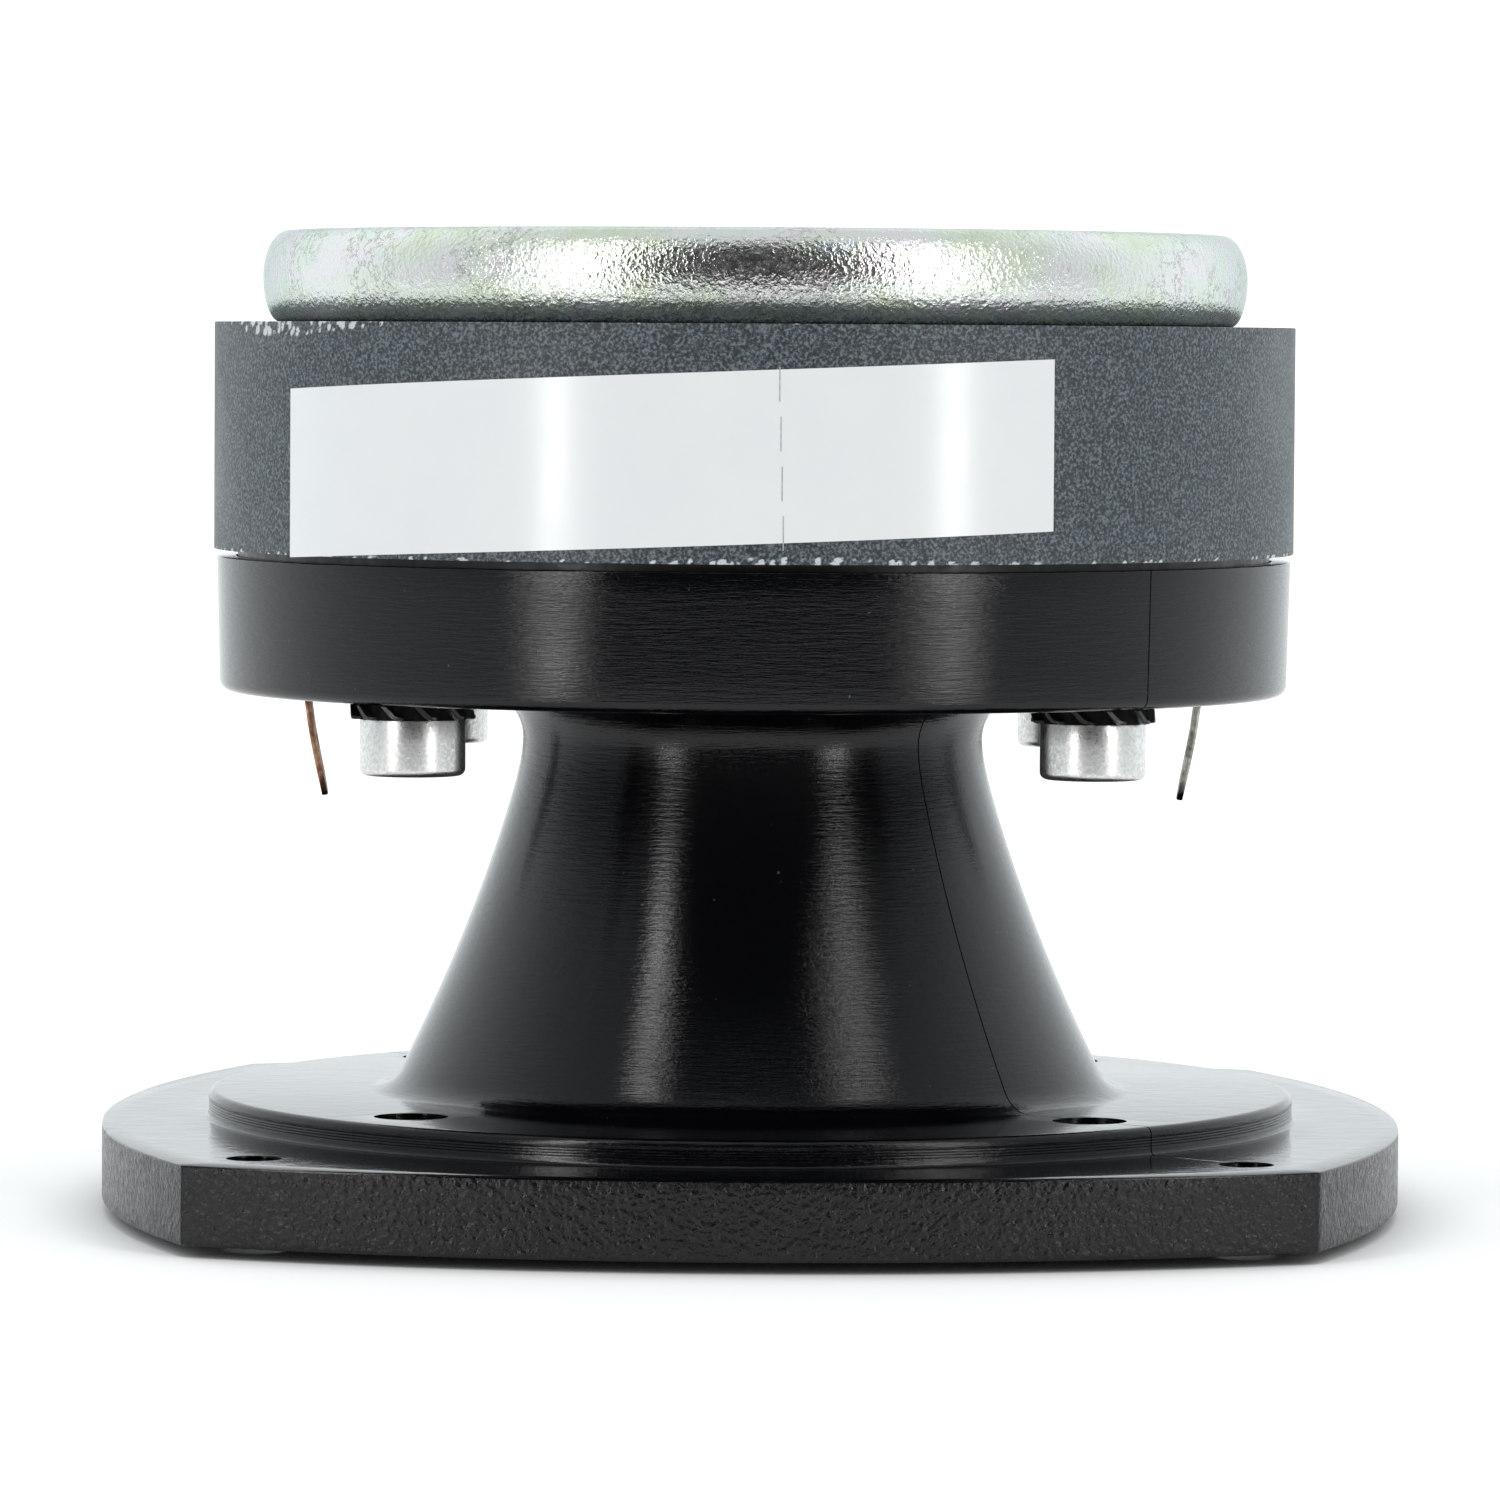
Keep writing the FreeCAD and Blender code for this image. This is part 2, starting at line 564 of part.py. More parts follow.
def phase_plug():
    top = Z_PLUG_SEAT + PLUG_RING_HEIGHT
    carrier = revolve(polyline([
        (THROAT_RADIUS, Z_PLUG_SEAT), (PLUG_RING_RADIUS, Z_PLUG_SEAT), (PLUG_RING_RADIUS, top),
        (THROAT_RADIUS + PLUG_RING_LIP, top), (THROAT_RADIUS, Z_PLUG_SEAT),
    ]))
    bullet, shell = plug_core()
    plug = carrier.fuse([bullet, shell])
    reach = (THROAT_RADIUS + PLUG_RING_RADIUS) / 2
    for i in range(PLUG_WEB_COUNT):
        web = box(PLUG_WEB_INNER_RADIUS, reach, PLUG_WEB_THICKNESS / 2,
                  Z_PLUG_SEAT, Z_PLUG_SEAT + PLUG_WEB_HEIGHT)
        plug = plug.fuse(turned(web, 90 + i * 360.0 / PLUG_WEB_COUNT))
    return plug.removeSplitter()


# Fasteners


def cap_screw(angle):
    seat = Z_DISC_BOTTOM - WASHER_THICKNESS
    head = Part.makeCylinder(HEAD_RADIUS, HEAD_HEIGHT, point(0, seat - HEAD_HEIGHT))
    head = head.makeFillet(HEAD_ROUNDING, circular_edges(head, HEAD_RADIUS, seat - HEAD_HEIGHT))
    shank = Part.makeCylinder(SCREW_RADIUS, SCREW_LENGTH, point(0, seat))
    shank = shank.makeChamfer(SCREW_END_CHAMFER, circular_edges(shank, SCREW_RADIUS, seat + SCREW_LENGTH))
    across_corners = HEX_ACROSS_FLATS / math.cos(math.radians(30))
    corners = []
    for i in range(7):
        turn = math.radians(60 * i)
        x, y = math.cos(turn) * across_corners / 2, math.sin(turn) * across_corners / 2
        corners.append(point(x, seat - HEAD_HEIGHT, y))
    socket = Part.Face(Part.makePolygon(corners)).extrude(AXIS * HEX_DEPTH)
    screw = head.fuse(shank).removeSplitter().cut(socket)
    screw.translate(point(SCREW_CIRCLE_RADIUS, 0))
    return turned(screw, angle)


def lock_washer(angle, spin):
    # Flat ring under the head. Each tooth is twisted about its own radial line, outside the head.
    z_low = Z_DISC_BOTTOM - WASHER_THICKNESS
    ring_radius = HEAD_RADIUS + WASHER_RING_MARGIN
    washer = tube(SCREW_RADIUS + WASHER_BORE_CLEARANCE, ring_radius, z_low, Z_DISC_BOTTOM)
    twist = math.radians(TOOTH_TWIST)
    drop = (TOOTH_WIDTH * math.sin(twist) + TOOTH_THICKNESS * math.cos(twist)) / 2
    start = ring_radius + TOOTH_GAP
    blade = Part.makeBox(WASHER_RADIUS - start, TOOTH_WIDTH, TOOTH_THICKNESS,
                         FreeCAD.Vector(start, -TOOTH_WIDTH / 2, -TOOTH_THICKNESS / 2))
    blade.rotate(ORIGIN, FreeCAD.Vector(1, 0, 0), TOOTH_TWIST)
    blade.translate(point(0, Z_DISC_BOTTOM - drop))
    neck = box(ring_radius - TOOTH_ROOT, start + TOOTH_ROOT, TOOTH_WIDTH / 4, z_low, z_low + TOOTH_THICKNESS)
    tooth = blade.fuse(neck)
    for i in range(TOOTH_COUNT):
        washer = washer.fuse(turned(tooth, spin + i * 360.0 / TOOTH_COUNT))
    washer = washer.removeSplitter()
    washer.translate(point(SCREW_CIRCLE_RADIUS, 0))
    return turned(washer, angle)


# Terminals and label


def terminal_tab(angle):
    # Strip bent once at its foot, bowed and leaning inward under the disc, with a pointed end.
    half = TAB_THICKNESS / 2
    top = Z_RECESS
    tip = Z_DISC_BOTTOM - TAB_DROP
    middle = Z_DISC_BOTTOM - TAB_DROP / 2

    def bent(offset):
        start = TAB_RADIUS + offset
        return arc((start, Z_DISC_BOTTOM), (start - TAB_LEAN / 2 + TAB_BOW, middle), (start - TAB_LEAN, tip))

    foot = [
        (TAB_RADIUS + half, Z_DISC_BOTTOM), (TAB_RADIUS + half, top), (TAB_FOOT_RADIUS, top),
        (TAB_FOOT_RADIUS, top - TAB_THICKNESS), (TAB_RADIUS - half, top - TAB_THICKNESS),
        (TAB_RADIUS - half, Z_DISC_BOTTOM),
    ]
    end = [(TAB_RADIUS - TAB_LEAN - half, tip), (TAB_RADIUS - TAB_LEAN + half, tip)]
    edges = [bent(half), bent(-half)] + polyline(foot) + polyline(end)
    profile = Part.Face(Part.Wire(Part.__sortEdges__(edges)))
    profile.translate(FreeCAD.Vector(0, -TAB_WIDTH / 2, 0))
    strip = profile.extrude(FreeCAD.Vector(0, TAB_WIDTH, 0))
    for sign in (1, -1):
        a = FreeCAD.Vector(0, sign * TAB_WIDTH / 2, tip + TAB_POINT_LENGTH)
        b = FreeCAD.Vector(0, sign * TAB_WIDTH / 2, tip)
        c = FreeCAD.Vector(0, sign * TAB_POINT_WIDTH / 2, tip)
        corner = Part.Face(Part.makePolygon([a, b, c, a])).extrude(FreeCAD.Vector(TAB_RADIUS * 2, 0, 0))
        strip = strip.cut(corner)
    eye = Part.makeCylinder(TAB_HOLE_RADIUS, TAB_RADIUS * 2, point(0, Z_DISC_BOTTOM - TAB_HOLE_DROP),
                            FreeCAD.Vector(1, 0, 0))
    return turned(strip.cut(eye), angle)


def label():
    # Paper on the magnet's wall. Its long edges climb to the right as they go round.
    low_corner = Z_MAGNET_BOTTOM - LABEL_OVERHANG
    rows = {}
    for name, lift in (("low", 0), ("high", LABEL_HEIGHT)):
        rows[name] = []
        for i in range(LABEL_STATIONS):
            share = i / (LABEL_STATIONS - 1)
            angle = math.radians(LABEL_START_ANGLE + share * (LABEL_END_ANGLE - LABEL_START_ANGLE))
            rows[name].append((MAGNET_RADIUS * math.sin(angle), low_corner + lift + share * LABEL_RISE))
    low, high = rows["low"], rows["high"]
    edges = [spline(low), line(low[-1], high[-1]), spline(high), line(high[0], low[0])]
    outline = Part.Face(Part.Wire(Part.__sortEdges__(edges)))
    reach = MAGNET_RADIUS + LABEL_THICKNESS
    block = outline.extrude(FreeCAD.Vector(0, -2 * reach, 0))
    wall = tube(MAGNET_RADIUS, reach, low_corner - CUT_PAST, Z_MAGNET_TOP)
    return wall.common(block)


def pieces():
    made = {
        "back_plate": back_plate(),
        "magnet_ring": magnet_ring(),
        "front_plate": front_plate(),
        "horn_body": horn_body(),
        "phase_plug": phase_plug(),
        "dome": dome(),
        "surround": surround(),
        "voice_coil_former": voice_coil_former(),
        "voice_coil": voice_coil(),
        "diaphragm_ring": diaphragm_ring(),
        "coil_lead_positive": coil_lead(TAB_ANGLES[1]),
        "coil_lead_negative": coil_lead(TAB_ANGLES[0]),
        "locating_pin_1": locating_pin(PIN_ANGLES[0]),
        "locating_pin_2": locating_pin(PIN_ANGLES[1]),
        "horn_gasket": horn_gasket(),
        "damping_pad": damping_pad(),
        "terminal_tab_positive": terminal_tab(TAB_ANGLES[1]),
        "terminal_tab_negative": terminal_tab(TAB_ANGLES[0]),
        "label": label(),
    }
    for i, angle in enumerate(screw_angles()):
        made["cap_screw_%d" % (i + 1)] = cap_screw(angle)
        made["lock_washer_%d" % (i + 1)] = lock_washer(angle, WASHER_SPIN * i)
    return made


os.makedirs("parts", exist_ok=True)
for name, shape in pieces().items():
    if len(shape.Solids) == 1:
        shape = shape.Solids[0]
    print(name, len(shape.Solids), shape.isValid(), "%.1f mm3" % shape.Volume)
    shape.exportStep("parts/%s.step" % name)
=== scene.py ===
# %% [markdown]
# # Compression driver, dressed
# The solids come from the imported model. This lesson gives each piece its finish, and rebuilds the
# pieces whose real surface has more in it than a plain solid shows: the moulded horn, the chipped
# magnet, the plated back plate, the screws, the toothed washers and the solder tabs. The label gets
# a perforation.

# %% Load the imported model
import json
import math

import bmesh
import bpy
import numpy as np
from mathutils import Matrix, Vector
from mathutils import noise as noise_field


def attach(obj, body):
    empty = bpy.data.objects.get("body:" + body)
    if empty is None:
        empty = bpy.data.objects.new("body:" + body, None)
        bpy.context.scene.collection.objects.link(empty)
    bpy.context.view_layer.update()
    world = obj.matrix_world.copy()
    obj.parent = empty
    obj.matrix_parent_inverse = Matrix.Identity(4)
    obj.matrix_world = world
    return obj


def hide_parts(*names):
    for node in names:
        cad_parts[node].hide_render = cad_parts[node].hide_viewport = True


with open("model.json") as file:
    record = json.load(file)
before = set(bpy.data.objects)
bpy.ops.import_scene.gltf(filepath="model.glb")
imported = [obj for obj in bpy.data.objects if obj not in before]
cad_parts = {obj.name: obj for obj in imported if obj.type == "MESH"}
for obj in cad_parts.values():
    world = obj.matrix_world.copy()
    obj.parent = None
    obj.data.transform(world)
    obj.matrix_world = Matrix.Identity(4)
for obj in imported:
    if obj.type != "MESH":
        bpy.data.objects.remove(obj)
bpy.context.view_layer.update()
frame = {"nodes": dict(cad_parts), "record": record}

MM = 0.001
print("pieces in the frame:", len(frame["nodes"]))

# %% [markdown]
# ## Camera
# The driver was photographed from 67 cm with a long lens, a little above the magnet's lower half and
# looking 2.9 degrees down. A camera is best set from such numbers with a matrix: first the tilt, then
# the small roll about its own line of sight.

# %% Camera
VIEW_PLACE = (-0.00021, -0.673, 0.07174)
VIEW_DOWN = 2.88
VIEW_ROLL = 0.36
SENSOR = 36.0
LENS = 193.3

camera = bpy.data.cameras.new("view")
camera.sensor_width = SENSOR
camera.lens = LENS
camera.clip_start = 0.01
camera_object = bpy.data.objects.new("view", camera)
tilt = Matrix.Rotation(math.radians(90 - VIEW_DOWN), 4, "X")
roll = Matrix.Rotation(math.radians(VIEW_ROLL), 4, "Z")
camera_object.matrix_world = Matrix.Translation(VIEW_PLACE) @ tilt @ roll
bpy.context.scene.collection.objects.link(camera_object)
bpy.context.scene.camera = camera_object
print("camera looks", VIEW_DOWN, "degrees down through", LENS, "mm")

# %% [markdown]
# ## Node helper
# Every finish below is a small tree of nodes. One helper adds a node, sets what it is given and
# links what comes from another node, so that a tree reads like a recipe.

# %% Node helper


def add(tree, kind, inputs=None, **settings):
    node = tree.nodes.new(kind)
    for key, value in settings.items():
        setattr(node, key, value)
    for key, value in (inputs or {}).items():
        if isinstance(value, bpy.types.NodeSocket):
            tree.links.new(value, node.inputs[key])
        else:
            node.inputs[key].default_value = value
    return node


def blank_finish(name, **sockets):
    material = bpy.data.materials.new(name)
    material.use_nodes = True
    shader = material.node_tree.nodes["Principled BSDF"]
    for key, value in sockets.items():
        shader.inputs[key.replace("_", " ")].default_value = value
    return material, material.node_tree, shader


def noise(tree, scale, detail=3.0, roughness=0.55, vector=None, stretch=None):
    place = vector or add(tree, "ShaderNodeTexCoord").outputs["Object"]
    if stretch:
        place = add(tree, "ShaderNodeMapping", {"Vector": place, "Scale": stretch}).outputs["Vector"]
    inputs = {"Vector": place, "Scale": scale, "Detail": detail, "Roughness": roughness}
    return add(tree, "ShaderNodeTexNoise", inputs).outputs["Fac"]


def spread(tree, value, low, high, to_low=0.0, to_high=1.0):
    inputs = {"Value": value, "From Min": low, "From Max": high, "To Min": to_low, "To Max": to_high}
    return add(tree, "ShaderNodeMapRange", inputs).outputs["Result"]


def ramp(tree, value, stops):
    node = add(tree, "ShaderNodeValToRGB", {"Fac": value})
    band = node.color_ramp
    while len(band.elements) < len(stops):
        band.elements.new(0.5)
    for element, (place, colour) in zip(band.elements, stops):
        element.position = place
        element.color = (*colour, 1.0)
    return node.outputs["Color"]


def bump(tree, shader, height, depth, strength=1.0):
    inputs = {"Height": height, "Distance": depth, "Strength": strength}
    node = add(tree, "ShaderNodeBump", inputs)
    tree.links.new(node.outputs["Normal"], shader.inputs["Normal"])
    return node


def math_node(tree, operation, a, b=0.0):
    node = add(tree, "ShaderNodeMath", operation=operation)
    for socket, value in zip(node.inputs, (a, b)):
        if isinstance(value, bpy.types.NodeSocket):
            tree.links.new(value, socket)
        else:
            socket.default_value = value
    return node.outputs[0]


finishes = {}
print("helpers ready")

# %% [markdown]
# ## Bright zinc plating
# The back plate is rough-rolled steel under clear zinc: a soft mirror with a grainy surface, tinted
# yellow-green in some places and pink or blue in others, because the passivated film varies in
# thickness. Slow noise picks the tint, a thin band of a third noise draws dark veins, and fine noise
# gives the grain. The flat face on top was turned, so a sine of the radius adds its faint rings.

# %% Zinc plating
ZINC_TINTS = [
    (0.32, (0.68, 0.75, 0.60)), (0.43, (0.77, 0.83, 0.71)), (0.52, (0.80, 0.84, 0.80)),
    (0.60, (0.86, 0.82, 0.84)), (0.68, (0.79, 0.84, 0.76)), (0.76, (0.74, 0.81, 0.86)),
]
RING_PITCH = 0.00035
RING_SHARE = 0.12
FLAT_FROM, FLAT_FULL = 0.0807, 0.0809

material, tree, shader = blank_finish("zinc_plate", Metallic=1.0, Roughness=0.24,
                                      Specular_Tint=(0.62, 0.66, 0.66, 1.0))
film = noise(tree, 95.0, 4.0, 0.6, stretch=(1.0, 1.0, 1.8))
tint = ramp(tree, film, ZINC_TINTS)
grain = noise(tree, 2700.0, 2.5, 0.55)
ridge = math_node(tree, "ABSOLUTE", math_node(tree, "SUBTRACT", noise(tree, 620.0, 5.0, 0.7), 0.5))
cluster = spread(tree, noise(tree, 130.0, 2.0), 0.42, 0.54)
vein = math_node(tree, "MULTIPLY", spread(tree, ridge, 0.022, 0.004), cluster)
pits = ramp(tree, vein, [(0.0, (1.0, 1.0, 1.0)), (1.0, (0.50, 0.50, 0.46))])
mixed = add(tree, "ShaderNodeMix", {"Factor": 1.0}, data_type="RGBA", blend_type="MULTIPLY")
tree.links.new(tint, mixed.inputs["A"])
tree.links.new(pits, mixed.inputs["B"])
tree.links.new(mixed.outputs["Result"], shader.inputs["Base Color"])
tree.links.new(spread(tree, grain, 0.35, 0.65, 0.28, 0.16), shader.inputs["Roughness"])
place = add(tree, "ShaderNodeSeparateXYZ", {"Vector": add(tree, "ShaderNodeTexCoord").outputs["Object"]})
squares = [math_node(tree, "POWER", place.outputs[axis], 2.0) for axis in ("X", "Y")]
radius = math_node(tree, "SQRT", math_node(tree, "ADD", *squares))
tool_path = math_node(tree, "SINE", math_node(tree, "MULTIPLY", radius, math.tau / RING_PITCH))
flat_top = spread(tree, place.outputs["Z"], FLAT_FROM, FLAT_FULL)
turned_marks = math_node(tree, "MULTIPLY", math_node(tree, "MULTIPLY", tool_path, flat_top), RING_SHARE)
bump(tree, shader, math_node(tree, "ADD", grain, turned_marks), 0.0001, 0.9)
finishes["zinc_plate"] = material
print("zinc plating, nodes:", len(tree.nodes))

# %% [markdown]
# ## Sintered ferrite
# Ferrite is pressed powder: matt, blue-grey, with fine speckles. Where an edge has crumbled, the
# fresh grains look whitish. The chips are cut into the mesh further down and leave their depth in
# an attribute, which this finish turns into the pale colour.

# %% Ferrite
FERRITE_TONES = [
    (0.38, (0.016, 0.021, 0.026)), (0.50, (0.048, 0.061, 0.071)), (0.62, (0.155, 0.19, 0.212)),
]
FRESH_GRAIN = (0.66, 0.69, 0.71, 1.0)

material, tree, shader = blank_finish("ferrite", Roughness=0.5)
shader.inputs["Specular IOR Level"].default_value = 0.55
speck = noise(tree, 3900.0, 2.0, 0.65)
cloud = noise(tree, 90.0, 3.0, 0.6)
powder = ramp(tree, speck, FERRITE_TONES)
chip = add(tree, "ShaderNodeAttribute", attribute_name="chip").outputs["Fac"]
pale = spread(tree, math_node(tree, "MULTIPLY", chip, spread(tree, speck, 0.3, 0.45)), 0.08, 0.4)
mixed = add(tree, "ShaderNodeMix", {"Factor": pale, "B": FRESH_GRAIN}, data_type="RGBA")
tree.links.new(powder, mixed.inputs["A"])
tree.links.new(mixed.outputs["Result"], shader.inputs["Base Color"])
tree.links.new(spread(tree, cloud, 0.3, 0.7, 0.44, 0.58), shader.inputs["Roughness"])
bump(tree, shader, speck, 0.00002, 0.5)
finishes["ferrite"] = material
print("ferrite, nodes:", len(tree.nodes))

# %% [markdown]
# ## Moulded black plastic
# The horn came out of a polished mould: a deep black gloss with a little grain in its highlights,
# and small bright specks. The grain is noise stretched flat, so it scatters the lamps up and down
# more than sideways. Only the flange's edge was left with the mould's sand texture, so it has a
# finish of its own, and the thin line where the mould's halves met has a third.

# %% Polished plastic
material, tree, shader = blank_finish("horn_plastic", Roughness=0.12)
shader.inputs["Specular IOR Level"].default_value = 0.34
haze = noise(tree, 55.0, 3.0, 0.55)
dust = noise(tree, 1500.0, 2.0, 0.5)
deep = ramp(tree, dust, [(0.76, (0.0018, 0.0021, 0.0027)), (0.79, (0.08, 0.085, 0.085))])
tree.links.new(deep, shader.inputs["Base Color"])
tree.links.new(spread(tree, haze, 0.3, 0.7, 0.08, 0.11), shader.inputs["Roughness"])
lines = noise(tree, 420.0, 4.0, 0.65, stretch=(1.0, 1.0, 11.0))
fine = noise(tree, 2600.0, 3.0, 0.6)
rubbed = spread(tree, noise(tree, 45.0, 2.0), 0.35, 0.62, 0.75, 1.25)
relief = math_node(tree, "ADD", lines, math_node(tree, "MULTIPLY", fine, 0.22))
skin = math_node(tree, "MULTIPLY", relief, rubbed)
bump(tree, shader, skin, 0.00005, 0.8)
finishes["horn_plastic"] = material
print("polished plastic, nodes:", len(tree.nodes))

# %% Sand texture
material, tree, shader = blank_finish("sand_texture", Roughness=0.3)
shader.inputs["Specular IOR Level"].default_value = 0.38
sand = noise(tree, 1500.0, 3.0, 0.6)
place = add(tree, "ShaderNodeTexCoord").outputs["Object"]
facet = add(tree, "ShaderNodeTexVoronoi", {"Scale": 2100.0, "Vector": place})
dull = ramp(tree, sand, [(0.4, (0.0025, 0.0025, 0.003)), (0.7, (0.008, 0.0083, 0.0092))])
tree.links.new(dull, shader.inputs["Base Color"])
tree.links.new(spread(tree, facet.outputs["Color"], 0.0, 1.0, 0.18, 0.4), shader.inputs["Roughness"])
relief = math_node(tree, "ADD", sand, math_node(tree, "MULTIPLY", facet.outputs["Distance"], 0.35))
bump(tree, shader, relief, 0.00022, 0.9)
finishes["sand_texture"] = material
print("sand texture, nodes:", len(tree.nodes))

# %% Parting line
material, tree, shader = blank_finish("parting_line", Roughness=0.8)
shader.inputs["Specular IOR Level"].default_value = 0.1
soot = ramp(tree, noise(tree, 900.0), [(0.4, (0.001, 0.001, 0.001)), (0.6, (0.004, 0.004, 0.004))])
tree.links.new(soot, shader.inputs["Base Color"])
finishes["parting_line"] = material
print("parting line, nodes:", len(tree.nodes))

# %% [markdown]
# ## The small pieces' finishes
# These share one recipe: a base colour that varies between two tones, a roughness that follows the
# same noise, and a fine relief. Only the numbers differ, so they stand in one table. The band behind a
# washer's teeth lies in deep shade, and that shade is painted: its finish is a near-black copy of the
# washer's black that also reflects less.

# %% Table of small finishes
SMALL_FINISHES = {
    # name: metallic, dark tone, light tone, roughness low, roughness high, noise scale, relief depth
    "screw_steel": (1.0, (0.62, 0.62, 0.60), (0.80, 0.81, 0.79), 0.26, 0.38, 3300.0, 0.00003),
    "washer_black": (0.0, (0.006, 0.006, 0.007), (0.022, 0.022, 0.022), 0.24, 0.4, 1500.0, 0.00001),
    # painted shade: the washer band behind the teeth, a darker and less reflective copy of washer_black
    "washer_painted_shade": (0.0, (0.001, 0.001, 0.001), (0.003, 0.003, 0.003), 0.6, 0.8, 1500.0, 0.00001),
    "black_steel": (0.0, (0.006, 0.006, 0.007), (0.018, 0.018, 0.02), 0.3, 0.45, 900.0, 0.00001),
    "plug_plastic": (0.0, (0.012, 0.012, 0.014), (0.02, 0.02, 0.022), 0.2, 0.3, 700.0, 0.00001),
    "dome_foil": (1.0, (0.62, 0.63, 0.66), (0.78, 0.78, 0.80), 0.2, 0.32, 500.0, 0.00001),
    "surround_film": (0.0, (0.42, 0.26, 0.07), (0.55, 0.36, 0.12), 0.2, 0.35, 600.0, 0.000005),
    "former_film": (0.0, (0.40, 0.24, 0.07), (0.52, 0.33, 0.11), 0.25, 0.4, 600.0, 0.000005),
    "coil_wire": (1.0, (0.62, 0.30, 0.16), (0.80, 0.45, 0.26), 0.25, 0.4, 900.0, 0.00001),
    "ring_plastic": (0.0, (0.03, 0.03, 0.032), (0.05, 0.05, 0.052), 0.4, 0.55, 800.0, 0.00001),
    "lead_copper": (1.0, (0.62, 0.32, 0.18), (0.82, 0.48, 0.30), 0.25, 0.4, 900.0, 0.000005),
    "pin_steel": (1.0, (0.55, 0.55, 0.55), (0.72, 0.72, 0.72), 0.18, 0.3, 1200.0, 0.000005),
    "gasket_fibre": (0.0, (0.03, 0.03, 0.03), (0.09, 0.088, 0.085), 0.8, 0.95, 3500.0, 0.00005),
    "felt": (0.0, (0.14, 0.14, 0.15), (0.32, 0.32, 0.33), 0.9, 1.0, 4200.0, 0.00012),
    "label_paper": (0.0, (0.915, 0.935, 0.95), (0.94, 0.955, 0.965), 0.16, 0.22, 120.0, 0.00001),
}
for name, (metal, dark, light, low, high, scale, depth) in SMALL_FINISHES.items():
    material, tree, shader = blank_finish(name, Metallic=metal)
    pattern = noise(tree, scale, 4.0, 0.6)
    tree.links.new(ramp(tree, pattern, [(0.36, dark), (0.62, light)]), shader.inputs["Base Color"])
    tree.links.new(spread(tree, pattern, 0.35, 0.65, high, low), shader.inputs["Roughness"])
    bump(tree, shader, pattern, depth, 0.6)
    finishes[name] = material
# The painted shade of the washer band also reflects less.
band_shade_shader = finishes["washer_painted_shade"].node_tree.nodes["Principled BSDF"]
band_shade_shader.inputs["Specular IOR Level"].default_value = 0.12
print(len(finishes), "finishes so far")

# %% [markdown]
# ## Weathered solder tabs
# Both tabs are the same blade, one browned copper and one tinned and stained. Their cut points are
# nearly black. Height above the point decides where the black starts, and noise breaks its edge.

# %% Tab finishes
TAB_TIP = 33.9 * MM
TAB_BLACK = 1.1 * MM
BURNT = (0.012, 0.011, 0.010, 1.0)
TAB_TONES = {
    "tab_copper": [(0.35, (0.10, 0.045, 0.03)), (0.5, (0.30, 0.13, 0.075)), (0.68, (0.50, 0.33, 0.2))],
    "tab_tin": [(0.35, (0.20, 0.18, 0.13)), (0.5, (0.42, 0.41, 0.36)), (0.68, (0.68, 0.68, 0.66))],
}
for name, tones in TAB_TONES.items():
    material, tree, shader = blank_finish(name, Metallic=0.85, Roughness=0.4)
    place = add(tree, "ShaderNodeTexCoord").outputs["Object"]
    stain = noise(tree, 700.0, 5.0, 0.7, vector=place)
    height = add(tree, "ShaderNodeSeparateXYZ", {"Vector": place}).outputs["Z"]
    edge = math_node(tree, "ADD", height, spread(tree, stain, 0.3, 0.7, -0.0005, 0.0005))
    black = spread(tree, edge, TAB_TIP + TAB_BLACK, TAB_TIP + 0.4 * TAB_BLACK)
    mixed = add(tree, "ShaderNodeMix", {"Factor": black, "B": BURNT}, data_type="RGBA")
    tree.links.new(ramp(tree, stain, tones), mixed.inputs["A"])
    tree.links.new(mixed.outputs["Result"], shader.inputs["Base Color"])
    tree.links.new(spread(tree, stain, 0.3, 0.7, 0.55, 0.28), shader.inputs["Roughness"])
    bump(tree, shader, stain, 0.00003, 0.6)
    finishes[name] = material
print("tab finishes:", sorted(TAB_TONES))

# %% [markdown]
# ## Dress the solids
# The record names a finish for every piece. Each solid from the frame takes its material by that
# name, and the pieces rebuilt below will take the place of some of them.

# %% Assign the finishes
for part in frame["record"]["subparts"]:
    solid = frame["nodes"][part["node"]]
    for material_slot in solid.material_slots:
        material_slot.material = finishes[part["material_slot"]]

# %% [markdown]
# ## The horn body
# One moulding, and the biggest form here. Its wall is turned about the axis everywhere except at the
# flange, whose outline is a square with bulged sides. So one closed section, listed point by point,
# is swept round the axis, and only the flange's points stretch to the outline at each angle. That
# keeps every edge rounding smooth, and leaves room for the finely turned grooves and the mould's
# parting line. The holes are cut afterwards.

# %% Sizes of the horn body in mm
RIM_RADIUS = 35.3
FLANGE_BOTTOM = 0.9
FLANGE_TOP = 7.3
BOSS_TOP = 9.55
DISC_BOTTOM = 42.85
DISC_RIM = 54.0
RECESS = 48.1
FILM = 47.35
ROLL_FLOOR = 45.2
PLUG_SEAT = 40.2
HALF_WIDTH = 54.0
CORNER = 44.6
BOSS_RADIUS = 45.3
FLARE_FOOT = 30.1
FOOT_FILLET = 3.0
NECK = 19.2
NECK_TOP = 38.85
NECK_FILLET = 3.92
DISC_RADIUS = 44.75
MOUTH = 32.5
MOUTH_ROUND = 1.0
THROAT = 12.0
PLUG_POCKET = 14.1
FILM_POCKET = 19.21
RING_POCKET = 30.2
MOTOR_POCKET = 43.2


def outline_radius(angle):
    # Distance from the axis to the flange's edge, which is four arcs from corner to corner.
    sagitta = HALF_WIDTH - CORNER
    arc_radius = (CORNER ** 2 + sagitta ** 2) / (2 * sagitta)
    back = arc_radius - HALF_WIDTH
    local = (angle + math.pi / 4) % (math.pi / 2) - math.pi / 4
    return -back * math.cos(local) + math.sqrt(arc_radius ** 2 - (back * math.sin(local)) ** 2)


def rounding(centre, radius, start, end, steps):
    # Points of an arc in the section, angles in degrees from the outward direction.
    turns = [math.radians(start + (end - start) * i / steps) for i in range(steps + 1)]
    return [(centre[0] + radius * math.cos(t), centre[1] + radius * math.sin(t)) for t in turns]


